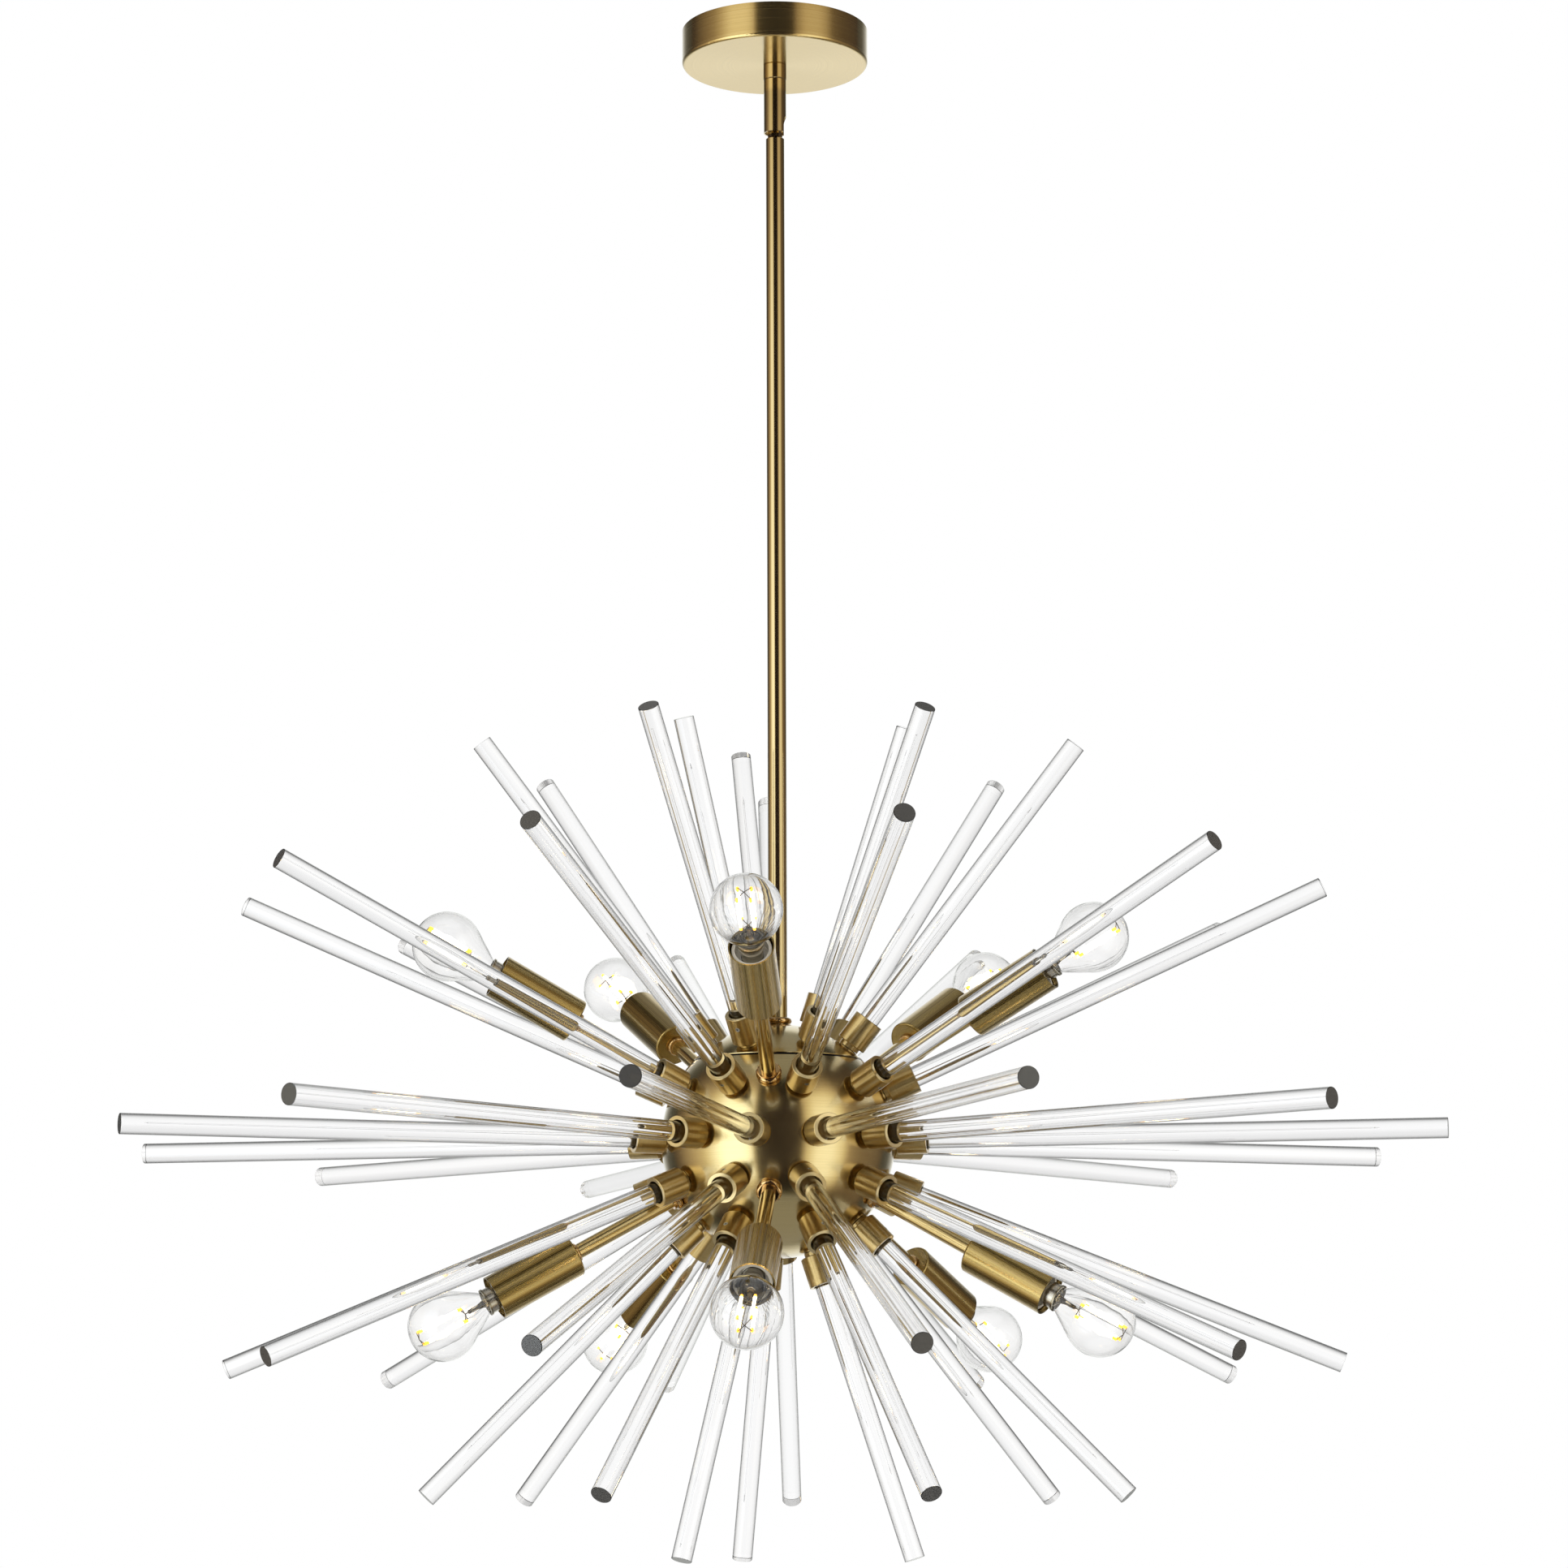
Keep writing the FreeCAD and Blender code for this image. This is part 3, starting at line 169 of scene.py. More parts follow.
def addWorld(look):
    world = bpy.data.worlds.new("studio")
    scene.world = world
    world.use_nodes = True
    tree = world.node_tree
    tree.nodes.clear()
    ray = addNode(tree, "ShaderNodeTexCoord")
    xyz = addNode(tree, "ShaderNodeSeparateXYZ", links={0: (ray, "Generated")})
    # metal sees the world only over and under the tent
    upwards = addNode(tree, "ShaderNodeMath", {"operation": "GREATER_THAN", 1: 0.0}, {0: (xyz, "Z")})
    metalLight = addNode(tree, "ShaderNodeMix",
                         {"data_type": "FLOAT", 2: look["below"], 3: look["overhead"]}, {0: (upwards, 0)})
    # glass: white all round, greyer towards the ceiling, with a dark band low down
    rise = addNode(tree, "ShaderNodeMapRange", {"From Min": -1.0, "From Max": 1.0}, {"Value": (xyz, "Z")})
    glassLight = addNode(tree, "ShaderNodeValToRGB", links={0: (rise, 0)})
    rampStops(glassLight, [((height + 1) / 2, level) for height, level in look["throughGlass"]])

    rays = addNode(tree, "ShaderNodeLightPath")
    seen = addNode(tree, "ShaderNodeMix", {"data_type": "FLOAT", 2: look["fill"], 3: 1.0},
                   {0: (rays, "Is Camera Ray")})
    seen = addNode(tree, "ShaderNodeMix", {"data_type": "FLOAT"},
                   {0: (rays, "Is Glossy Ray"), 2: (seen, 0), 3: (metalLight, 0)})
    seen = addNode(tree, "ShaderNodeMix", {"data_type": "FLOAT"},
                   {0: (rays, "Is Transmission Ray"), 2: (seen, 0), 3: (glassLight, 0)})
    light = addNode(tree, "ShaderNodeBackground", {"Color": (1, 1, 1, 1)}, {"Strength": (seen, 0)})
    addNode(tree, "ShaderNodeOutputWorld", links={"Surface": (light, 0)})


def addTent(look):
    # a round wall of light that only reflections in the metal see
    bpy.ops.object.select_all(action="DESELECT")
    low, high, radius = look["tentLow"], look["tentHigh"], look["tentRadius"]
    bpy.ops.mesh.primitive_cylinder_add(vertices=look["tentSides"], radius=radius, depth=high - low,
                                        location=(0, 0, (low + high) / 2), end_fill_type="NOTHING")
    tent = bpy.context.object
    tent.name = "lightTent"
    bpy.ops.object.transform_apply(location=True)
    finish = bpy.data.materials.new("tentLight")
    finish.use_nodes = True
    tree = finish.node_tree
    tree.nodes.clear()
    place = addNode(tree, "ShaderNodeTexCoord")
    xyz = addNode(tree, "ShaderNodeSeparateXYZ", links={0: (place, "Object")})
    front = addNode(tree, "ShaderNodeMath", {"operation": "MULTIPLY", 1: -1.0}, {0: (xyz, "Y")})
    around = addNode(tree, "ShaderNodeMath", {"operation": "ARCTAN2"}, {0: (xyz, "X"), 1: (front, 0)})
    turn = addNode(tree, "ShaderNodeMapRange", {"From Min": -math.pi, "From Max": math.pi},
                   {"Value": (around, 0)})
    walls = addNode(tree, "ShaderNodeValToRGB", links={0: (turn, 0)})
    brightest = max(level for _, level in look["walls"])
    rampStops(walls, [((degrees + 180) / 360, level / brightest) for degrees, level in look["walls"]])
    height = addNode(tree, "ShaderNodeMapRange", {"From Min": low, "From Max": high}, {"Value": (xyz, "Z")})
    shares = []
    for stops in (look["softboxShare"], look["paperShare"]):
        share = addNode(tree, "ShaderNodeValToRGB", links={0: (height, 0)})
        rampStops(share, [((level - low) / (high - low), amount) for level, amount in stops])
        shares.append(share)
    behind = addNode(tree, "ShaderNodeMath", {"operation": "GREATER_THAN", 1: look["paperFrom"] * radius},
                     {0: (xyz, "Y")})
    share = addNode(tree, "ShaderNodeMix", {"data_type": "FLOAT"},
                    {0: (behind, 0), 2: (shares[0], 0), 3: (shares[1], 0)})
    level = addNode(tree, "ShaderNodeMath", {"operation": "MULTIPLY"}, {0: (walls, 0), 1: (share, 0)})
    tint = addNode(tree, "ShaderNodeValToRGB", links={0: (level, 0)})
    rampStops(tint, [(share, linear(code)) for share, code in look["softboxTint"]])
    tint = addNode(tree, "ShaderNodeMix", {"data_type": "RGBA", 7: linear(look["paperTint"])},
                   {0: (behind, 0), 6: (tint, 0)})
    strength = addNode(tree, "ShaderNodeMath", {"operation": "MULTIPLY", 1: brightest}, {0: (level, 0)})
    light = addNode(tree, "ShaderNodeEmission", links={"Color": (tint, 2), "Strength": (strength, 0)})
    clear = addNode(tree, "ShaderNodeBsdfTransparent")
    rays = addNode(tree, "ShaderNodeLightPath")
    surface = addNode(tree, "ShaderNodeMixShader",
                      links={0: (rays, "Is Transmission Ray"), 1: (light, 0), 2: (clear, 0)})
    addNode(tree, "ShaderNodeOutputMaterial", links={"Surface": (surface, 0)})
    finish.cycles.emission_sampling = "NONE"      # reflections find it by themselves
    tent.data.materials.append(finish)
    tent.visible_camera = False
    tent.visible_diffuse = False
    tent.visible_shadow = False


def addFloor(look):
    level = cadBox[0][2] - look["floorDrop"]
    bpy.ops.object.select_all(action="DESELECT")
    bpy.ops.mesh.primitive_circle_add(vertices=look["floorSides"], radius=look["floorSize"] / 2,
                                      fill_type="NGON", location=(0, 0, level))
    floor = bpy.context.object
    floor.name = "floor"
    bpy.ops.object.transform_apply(location=True)
    finish = bpy.data.materials.new("paleFloor")
    finish.use_nodes = True
    tree = finish.node_tree
    tree.nodes.clear()
    paint = addNode(tree, "ShaderNodeBsdfDiffuse", {"Color": linear(look["floorColour"])})
    white = addNode(tree, "ShaderNodeEmission", {"Color": (1, 1, 1, 1), "Strength": 1.0})
    clear = addNode(tree, "ShaderNodeBsdfTransparent")
    place = addNode(tree, "ShaderNodeTexCoord")
    flat = addNode(tree, "ShaderNodeVectorMath", {"operation": "LENGTH"}, {0: (place, "Object")})
    near, away = look["floorFade"]
    far = addNode(tree, "ShaderNodeMapRange", {"From Min": near, "From Max": away},
                  {"Value": (flat, "Value")})
    fade = addNode(tree, "ShaderNodeMixShader", links={0: (far, 0), 1: (paint, 0), 2: (white, 0)})
    rays = addNode(tree, "ShaderNodeLightPath")
    under = addNode(tree, "ShaderNodeNewGeometry")
    # metal, glass and a camera below look through it
    through = addNode(tree, "ShaderNodeMath", {"operation": "MAXIMUM"},
                      {0: (rays, "Is Glossy Ray"), 1: (rays, "Is Transmission Ray")})
    through = addNode(tree, "ShaderNodeMath", {"operation": "MAXIMUM"},
                      {0: (through, 0), 1: (under, "Backfacing")})
    surface = addNode(tree, "ShaderNodeMixShader", links={0: (through, 0), 1: (fade, 0), 2: (clear, 0)})
    addNode(tree, "ShaderNodeOutputMaterial", links={"Surface": (surface, 0)})
    floor.data.materials.append(finish)


def addLamp(name, place, size, power):
    data = bpy.data.lights.new(name, "AREA")
    data.size = size
    data.energy = power
    softbox = bpy.data.objects.new(name, data)
    scene.collection.objects.link(softbox)
    towards = ballCentre - Vector(place)
    softbox.matrix_world = Matrix.Translation(place) @ towards.to_track_quat("-Z", "Y").to_matrix().to_4x4()
    softbox.visible_glossy = False      # the tent draws the softboxes in the metal
    softbox.visible_transmission = False


addWorld(studio)
addTent(studio)
addFloor(studio)
for lampSetting in studio["lamps"]:
    addLamp(*lampSetting)
print("studio set")


def newFinish(name):
    finish = bpy.data.materials.new(name)
    finish.use_nodes = True
    tree = finish.node_tree
    shader = tree.nodes["Principled BSDF"]
    return finish, tree, shader


def fromBall(tree):
    # position measured from the centre of the ball
    place = addNode(tree, "ShaderNodeTexCoord")
    return addNode(tree, "ShaderNodeVectorMath", {"operation": "SUBTRACT", 1: tuple(ballCentre)},
                   {0: (place, "Object")})


def plainColour(shader, code, metallic, roughness):
    shader.inputs["Base Color"].default_value = linear(code)
    shader.inputs["Metallic"].default_value = metallic
    shader.inputs["Roughness"].default_value = roughness


# Brass plated steel, satin brushed and lacquered: soft streaked reflections under a faint white sheen
brass = {
    "light": "#DEC586",
    "dark": "#C4A865",
    "roughness": (0.15, 0.24),
    "lacquer": 1.0,
    "lacquerRoughness": 0.08,
    "grain": 0.12,           # mm, width of one brush line
    "turned": 0.0,           # how far a turned face spreads its reflections along the radius
}
ballLook = {**brass, "light": "#DCC78E", "dark": "#C2AC70", "turned": 0.45}
canopyLook = {**brass, "turned": 0.8, "roughness": (0.2, 0.28)}
stemLook = {**brass, "light": "#C6B07C", "dark": "#AC9560", "roughness": (0.1, 0.16)}
cupLook = {**brass, "light": "#CDB478", "dark": "#A88C52", "roughness": (0.25, 0.34), "lacquer": 0.6}
socketLook = {**brass, "light": "#C6AC66", "dark": "#8C723A", "roughness": (0.18, 0.32), "lacquer": 0.6}
beadLook = {**brass, "light": "#D4AE72", "dark": "#C09858", "roughness": (0.08, 0.14)}
broadShare = 0.22           # lines per metre of the broad pattern for one of the fine pattern
turnedQuarter = 0.25        # a quarter turn from the tangent
noiseRange = (0.3, 0.7)     # where a noise pattern mostly lies
bothRange = (0.5, 1.5)      # and where the sum of two lies


def brushedBrass(name, look, lines, stretch):
    # lines: where the brush pattern reads its place; stretch: lines per metre along x, y, z
    finish, tree, shader = newFinish(name)
    pattern = lines(tree)
    scaled = addNode(tree, "ShaderNodeVectorMath", {"operation": "MULTIPLY", 1: stretch}, {0: pattern})
    fine = addNode(tree, "ShaderNodeTexNoise", {"Scale": 1.0, "Detail": 3.0, "Roughness": 0.65},
                   {"Vector": (scaled, 0)})
    broad = addNode(tree, "ShaderNodeVectorMath", {"operation": "SCALE", "Scale": broadShare},
                    {0: (scaled, 0)})
    soft = addNode(tree, "ShaderNodeTexNoise", {"Scale": 1.0, "Detail": 2.0}, {"Vector": (broad, 0)})
    both = addNode(tree, "ShaderNodeMath", {"operation": "ADD"}, {0: (fine, 0), 1: (soft, 0)})
    tone = addNode(tree, "ShaderNodeMapRange", {"From Min": bothRange[0], "From Max": bothRange[1]},
                   {"Value": (both, 0)})
    colour = addNode(tree, "ShaderNodeMix",
                     {"data_type": "RGBA", 6: linear(look["dark"]), 7: linear(look["light"])}, {0: (tone, 0)})
    low, high = look["roughness"]
    rough = addNode(tree, "ShaderNodeMapRange",
                    {"From Min": noiseRange[0], "From Max": noiseRange[1], "To Min": low, "To Max": high},
                    {"Value": (fine, 0)})
    tree.links.new(colour.outputs[2], shader.inputs["Base Color"])
    tree.links.new(rough.outputs[0], shader.inputs["Roughness"])
    shader.inputs["Metallic"].default_value = 1.0
    shader.inputs["Coat Weight"].default_value = look["lacquer"]
    shader.inputs["Coat Roughness"].default_value = look["lacquerRoughness"]
    if look["turned"]:
        shader.inputs["Anisotropic"].default_value = look["turned"]
        shader.inputs["Anisotropic Rotation"].default_value = turnedQuarter
        tangent = addNode(tree, "ShaderNodeTangent", {"direction_type": "RADIAL", "axis": "Z"})
        tree.links.new(tangent.outputs[0], shader.inputs["Tangent"])
    return finish


def paintedLipHighlight(finish, look):
    # the cup's flat mouth, faced off after turning, is painted paler than its wall: a painted highlight for
    # the light its flat face catches
    tree = finish.node_tree
    shader = tree.nodes["Principled BSDF"]
    outwards = addNode(tree, "ShaderNodeVectorMath", {"operation": "NORMALIZE"}, {0: (fromBall(tree), 0)})
    wall = addNode(tree, "ShaderNodeTexCoord")
    along = addNode(tree, "ShaderNodeVectorMath", {"operation": "DOT_PRODUCT"},
                    {0: (outwards, 0), 1: (wall, "Normal")})
    away = addNode(tree, "ShaderNodeVectorMath", {"operation": "LENGTH"}, {0: (fromBall(tree), 0)})
    flat = addNode(tree, "ShaderNodeMath", {"operation": "GREATER_THAN", 1: look["facing"]},
                   {0: (along, "Value")})
    outer = addNode(tree, "ShaderNodeMath", {"operation": "GREATER_THAN", 1: look["from"] * mm},
                    {0: (away, "Value")})
    lipHighlight = addNode(tree, "ShaderNodeMath", {"operation": "MULTIPLY"}, {0: (flat, 0), 1: (outer, 0)})
    turned = shader.inputs["Base Color"].links[0].from_node
    colour = addNode(tree, "ShaderNodeMix", {"data_type": "RGBA", 7: linear(look["colour"])},
                     {0: (lipHighlight, 0), 6: (turned, 2)})
    tree.links.new(colour.outputs[2], shader.inputs["Base Color"])


def paintedSeamShade(finish, look):
    # painted shade in the groove between cap and shell, drawn wider than the groove so that it shows, with
    # the lacquer left off there
    tree = finish.node_tree
    shader = tree.nodes["Principled BSDF"]
    xyz = addNode(tree, "ShaderNodeSeparateXYZ", links={0: (fromBall(tree), 0)})
    above = addNode(tree, "ShaderNodeMath", {"operation": "GREATER_THAN", 1: look["low"] * mm},
                    {0: (xyz, "Z")})
    below = addNode(tree, "ShaderNodeMath", {"operation": "LESS_THAN", 1: look["high"] * mm},
                    {0: (xyz, "Z")})
    seamShade = addNode(tree, "ShaderNodeMath", {"operation": "MULTIPLY"}, {0: (above, 0), 1: (below, 0)})
    metal = shader.inputs["Base Color"].links[0].from_node
    colour = addNode(tree, "ShaderNodeMix", {"data_type": "RGBA", 7: linear(look["colour"])},
                     {0: (seamShade, 0), 6: (metal, 2)})
    tree.links.new(colour.outputs[2], shader.inputs["Base Color"])
    coat = addNode(tree, "ShaderNodeMath", {"operation": "SUBTRACT", 0: 1.0}, {1: (seamShade, 0)})
    tree.links.new(coat.outputs[0], shader.inputs["Coat Weight"])


def aroundZ(tree):
    # radius, 0, height: lines run round the stem's axis
    place = addNode(tree, "ShaderNodeTexCoord")
    xyz = addNode(tree, "ShaderNodeSeparateXYZ", links={0: (place, "Object")})
    flat = addNode(tree, "ShaderNodeCombineXYZ", links={0: (xyz, "X"), 1: (xyz, "Y")})
    radius = addNode(tree, "ShaderNodeVectorMath", {"operation": "LENGTH"}, {0: (flat, 0)})
    return addNode(tree, "ShaderNodeCombineXYZ", links={0: (radius, "Value"), 2: (xyz, "Z")}), 0


def byDistance(tree):
    # distance from the ball: lines run round every rod cup and bead
    away = addNode(tree, "ShaderNodeVectorMath", {"operation": "LENGTH"}, {0: (fromBall(tree), 0)})
    return addNode(tree, "ShaderNodeCombineXYZ", links={0: (away, "Value")}), 0


def byFacing(tree):
    # the way a round wall faces: lines run along every arm and socket cup
    place = addNode(tree, "ShaderNodeTexCoord")
    return place, "Normal"


def lengthwise(tree):
    # place across the stem: lines run along it
    place = addNode(tree, "ShaderNodeTexCoord")
    return place, "Object"


# brush lines per metre, or over a unit normal where they follow the way a wall faces
fineLines = 1 / (brass["grain"] * mm)
lathLines = fineLines / 2
drawnLines = fineLines / 8
drawnLength = 4
armStreaks = 8
socketStreaks = 34
# painted shade of the groove between cap and shell, as a band of heights
seamShadeLook = {"colour": "#1C1610", "low": 51.9, "high": 53.4}             # mm above the ball's centre
# painted highlight on the flat mouth of every rod cup
lipHighlightLook = {"colour": "#D6C08A", "facing": 0.9, "from": 99.5}            # mm from the ball's centre
ballBrass = brushedBrass("spunBrass", ballLook, aroundZ, (fineLines, 1, fineLines))
paintedSeamShade(ballBrass, seamShadeLook)
canopyBrass = brushedBrass("turnedBrass", canopyLook, aroundZ, (lathLines, 1, lathLines))
stemBrass = brushedBrass("drawnBrass", stemLook, lengthwise, (drawnLines, drawnLines, drawnLength))
armBrass = brushedBrass("armBrass", brass, byFacing, (armStreaks, armStreaks, armStreaks))
cupBrass = brushedBrass("cupBrass", cupLook, byDistance, (fineLines, 1, 1))
paintedLipHighlight(cupBrass, lipHighlightLook)
socketBrass = brushedBrass("socketCupBrass", socketLook, byFacing,
                           (socketStreaks, socketStreaks, socketStreaks))
beadBrass = brushedBrass("beadBrass", beadLook, byDistance, (lathLines, 1, 1))


plating = {"blotches": 600.0, "smoother": 0.08, "rougher": 0.12}        # blotches per metre


# Zinc or nickel plated metal: cold grey, slightly blotched
def platedSteel(name, code, roughness):
    finish, tree, shader = newFinish(name)
    plainColour(shader, code, metallic=1.0, roughness=roughness)
    place = addNode(tree, "ShaderNodeTexCoord")
    blotch = addNode(tree, "ShaderNodeTexNoise", {"Scale": plating["blotches"], "Detail": 4.0},
                     {"Vector": (place, "Object")})
    rough = addNode(tree, "ShaderNodeMapRange",
                    {"To Min": roughness - plating["smoother"], "To Max": roughness + plating["rougher"]},
                    {"Value": (blotch, 0)})
    tree.links.new(rough.outputs[0], shader.inputs["Roughness"])
    return finish


steel = platedSteel("zincPlatedSteel", "#C9CBCC", roughness=0.28)
nickel = platedSteel("nickelPlate", "#D2CEC4", roughness=0.2)


moulding = {"mottles": 180.0, "bumpStrength": 0.15, "bumpDepth": 0.1}   # mottles per metre, depth in mm


# Moulded thermoplastic of sockets, connectors and wires: dull sheen, faintly mottled
def mouldedPlastic(name, light, dark, roughness):
    finish, tree, shader = newFinish(name)
    place = addNode(tree, "ShaderNodeTexCoord")
    mottle = addNode(tree, "ShaderNodeTexNoise", {"Scale": moulding["mottles"], "Detail": 5.0},
                     {"Vector": (place, "Object")})
    colour = addNode(tree, "ShaderNodeMix", {"data_type": "RGBA", 6: linear(dark), 7: linear(light)},
                     {0: (mottle, 0)})
    bump = addNode(tree, "ShaderNodeBump",
                   {"Strength": moulding["bumpStrength"], "Distance": moulding["bumpDepth"] * mm},
                   {"Height": (mottle, 0)})
    tree.links.new(colour.outputs[2], shader.inputs["Base Color"])
    tree.links.new(bump.outputs[0], shader.inputs["Normal"])
    shader.inputs["Roughness"].default_value = roughness
    return finish


socketPlastic = mouldedPlastic("socketThermoplastic", "#DDD8CC", "#C9C3B5", roughness=0.45)
connectorPlastic = mouldedPlastic("connectorThermoplastic", "#E08A3C", "#C8752C", roughness=0.42)
wirePlastic = mouldedPlastic("wireInsulation", "#E6E3DA", "#D0CCC2", roughness=0.4)


# Cast rod and blown glass, clear and colourless: painted shade darkens the wall in a thin line where it is
# seen at a glancing angle, standing in for the dark surroundings seen through it
rodGlassLook = {
    "ior": 1.49,
    "round": True,           # darkens towards the rod's two outlines only, not along its length
    # painted shade: the glass's colour by how glancingly its wall is seen
    "shadeBySlant": [(0.0, "#FFFFFF"), (0.25, "#F8F8F8"), (0.4, "#DEDEDD"), (0.52, "#A0A09F"), (0.66, "#585858"),
              (0.82, "#303030"), (1.0, "#585858")],
}
bulbGlassLook = {
    "ior": 1.5,
    "shadeBySlant": [(0.0, "#FFFFFF"), (0.7, "#FAFAF9"), (0.86, "#D8D8D6"), (0.97, "#8A8A88")],
    "ripple": 16.0,          # mm from one wave of the wall to the next
    "rippleDepth": 0.25,     # mm
}
footGlassLook = {
    "ior": 1.52,
    "shadeBySlant": [(0.0, "#F4E8CC"), (0.6, "#C8AE6C"), (0.97, "#8A7040")],
}
sawnLook = {"colour": "#F4F1EA", "clear": 0.93, "roughness": 0.0, "ior": 1.49}
throughColour = "#F7F7F7"       # what shadows and soft light keep after the wall


def acrossRod(tree):
    # 0 in the middle of a rod, 1 at its two outlines, however the rod leans towards the eye
    wall = addNode(tree, "ShaderNodeLayerWeight", {"Blend": 0.5})
    wallCosine = addNode(tree, "ShaderNodeMath", {"operation": "SUBTRACT", 0: 1.0}, {1: (wall, "Facing")})
    outwards = addNode(tree, "ShaderNodeVectorMath", {"operation": "NORMALIZE"}, {0: (fromBall(tree), 0)})
    axis = addNode(tree, "ShaderNodeVectorTransform",
                   {"vector_type": "VECTOR", "convert_from": "OBJECT", "convert_to": "WORLD"},
                   {0: (outwards, 0)})
    lean = addNode(tree, "ShaderNodeLayerWeight", {"Blend": 0.5}, {"Normal": (axis, 0)})
    cosine = addNode(tree, "ShaderNodeMath", {"operation": "SUBTRACT", 0: 1.0}, {1: (lean, "Facing")})
    square = addNode(tree, "ShaderNodeMath", {"operation": "MULTIPLY"}, {0: (cosine, 0), 1: (cosine, 0)})
    # a little over 1, so that it never divides by nought
    rest = addNode(tree, "ShaderNodeMath", {"operation": "SUBTRACT", 0: 1.0001}, {1: (square, 0)})
    sine = addNode(tree, "ShaderNodeMath", {"operation": "SQRT"}, {0: (rest, 0)})
    share = addNode(tree, "ShaderNodeMath", {"operation": "DIVIDE", "use_clamp": True},
                    {0: (wallCosine, 0), 1: (sine, 0)})
    return addNode(tree, "ShaderNodeMath", {"operation": "SUBTRACT", 0: 1.0}, {1: (share, 0)})


def clearGlass(name, look):
    finish, tree, shader = newFinish(name)
    tree.nodes.remove(shader)
    output = next(n for n in tree.nodes if n.type == "OUTPUT_MATERIAL")
    shadeBySlant = addNode(tree, "ShaderNodeLayerWeight", {"Blend": 0.5}), "Facing"
    if "round" in look:
        shadeBySlant = acrossRod(tree), 0
    # painted shade: the glass darkens where its wall is seen at a glancing angle
    tint = addNode(tree, "ShaderNodeValToRGB", links={0: shadeBySlant})
    rampStops(tint, [(place, linear(code)) for place, code in look["shadeBySlant"]])
    glass = addNode(tree, "ShaderNodeBsdfPrincipled",
                    {"Roughness": 0.0, "IOR": look["ior"], "Transmission Weight": 1.0},
                    {"Base Color": (tint, 0)})
    if "ripple" in look:
        wave = addNode(tree, "ShaderNodeTexNoise", {"Scale": 1 / (look["ripple"] * mm), "Detail": 1.5},
                       {"Vector": (fromBall(tree), 0)})
        bump = addNode(tree, "ShaderNodeBump", {"Strength": 1.0, "Distance": look["rippleDepth"] * mm},
                       {"Height": (wave, 0)})
        tree.links.new(bump.outputs[0], glass.inputs["Normal"])
    clear = addNode(tree, "ShaderNodeBsdfTransparent", {"Color": linear(throughColour)})
    rays = addNode(tree, "ShaderNodeLightPath")
    # light passes on to the floor and the brass behind
    passing = addNode(tree, "ShaderNodeMath", {"operation": "MAXIMUM"},
                      {0: (rays, "Is Shadow Ray"), 1: (rays, "Is Diffuse Ray")})
    mixed = addNode(tree, "ShaderNodeMixShader", links={0: (passing, 0), 1: (glass, 0), 2: (clear, 0)})
    tree.links.new(mixed.outputs[0], output.inputs["Surface"])
    return finish


def sawnEnd(name, look):
    # the rod's sawn face scatters a little light, so that it never goes quite black
    finish, tree, shader = newFinish(name)
    plainColour(shader, look["colour"], metallic=0.0, roughness=look["roughness"])
    shader.inputs["IOR"].default_value = look["ior"]
    shader.inputs["Transmission Weight"].default_value = look["clear"]
    return finish


rodGlass = clearGlass("castAcrylic", rodGlassLook)
rodEnd = sawnEnd("sawnAcrylic", sawnLook)
bulbGlass = clearGlass("blownGlass", bulbGlassLook)
stemGlass = clearGlass("lampStemGlass", footGlassLook)


# Nickel plated lamp cap with a brass ring at its mouth: warm grey, the ring darker and yellower
capLook = {
    "skirt": "#C8C2B4",
    "ring": "#A39A84",
    "ringFrom": 222.2,       # mm from the ball's centre
    "roughness": 0.24,
}


def lampCapFinish(look):
    finish, tree, shader = newFinish("nickelAndBrassCap")
    away = addNode(tree, "ShaderNodeVectorMath", {"operation": "LENGTH"}, {0: (fromBall(tree), 0)})
    ring = addNode(tree, "ShaderNodeMath", {"operation": "GREATER_THAN", 1: look["ringFrom"] * mm},
                   {0: (away, "Value")})
    colour = addNode(tree, "ShaderNodeMix",
                     {"data_type": "RGBA", 6: linear(look["skirt"]), 7: linear(look["ring"])}, {0: (ring, 0)})
    tree.links.new(colour.outputs[2], shader.inputs["Base Color"])
    shader.inputs["Metallic"].default_value = 1.0
    shader.inputs["Roughness"].default_value = look["roughness"]
    return finish


# Lit phosphor stick: warm white in the middle, orange yellow at its ends
def litFilament(name, code, strength):
    finish, tree, shader = newFinish(name)
    shader.inputs["Base Color"].default_value = linear(code)
    shader.inputs["Emission Color"].default_value = linear(code)
    shader.inputs["Emission Strength"].default_value = strength
    return finish


capFinish = lampCapFinish(capLook)
filamentGlow = litFilament("litPhosphor", "#FFE9B8", strength=8.0)
filamentEnd = litFilament("phosphorEnd", "#FFB030", strength=2.2)
wireDark = platedSteel("nickelWire", "#5A5650", roughness=0.35)
print("finishes made")


# fixings, nuts and screws that aren't listed are steel
nodeFinish = {
    "canopy": canopyBrass, "canopy_collar": stemBrass, "swivel_socket": stemBrass, "swivel_ball": stemBrass,
    "stem_upper": stemBrass, "stem_lower": stemBrass, "stem_ring": beadBrass,
    "sphere_cap": ballBrass, "sphere_shell": ballBrass,
    "rod_cups": cupBrass, "lamp_arms": armBrass, "arm_collars": beadBrass, "arm_seat_rings": beadBrass,
    "socket_cups": socketBrass, "set_screws": steel, "socket_bodies": socketPlastic, "socket_shells": nickel,
    "socket_contacts": nickel, "wire_nuts": connectorPlastic, "splice_caps": connectorPlastic,
    "canopy_wires": wirePlastic, "supply_wires": wirePlastic, "lamp_wires": wirePlastic,
}
for name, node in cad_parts.items():
    finish = nodeFinish.get(name, capFinish if name.endswith("_base") else steel)
    node.data.materials.clear()
    node.data.materials.append(finish)
print("CAD nodes finished")


weldReach = 0.01        # mm, joins the loose triangles of a CAD node


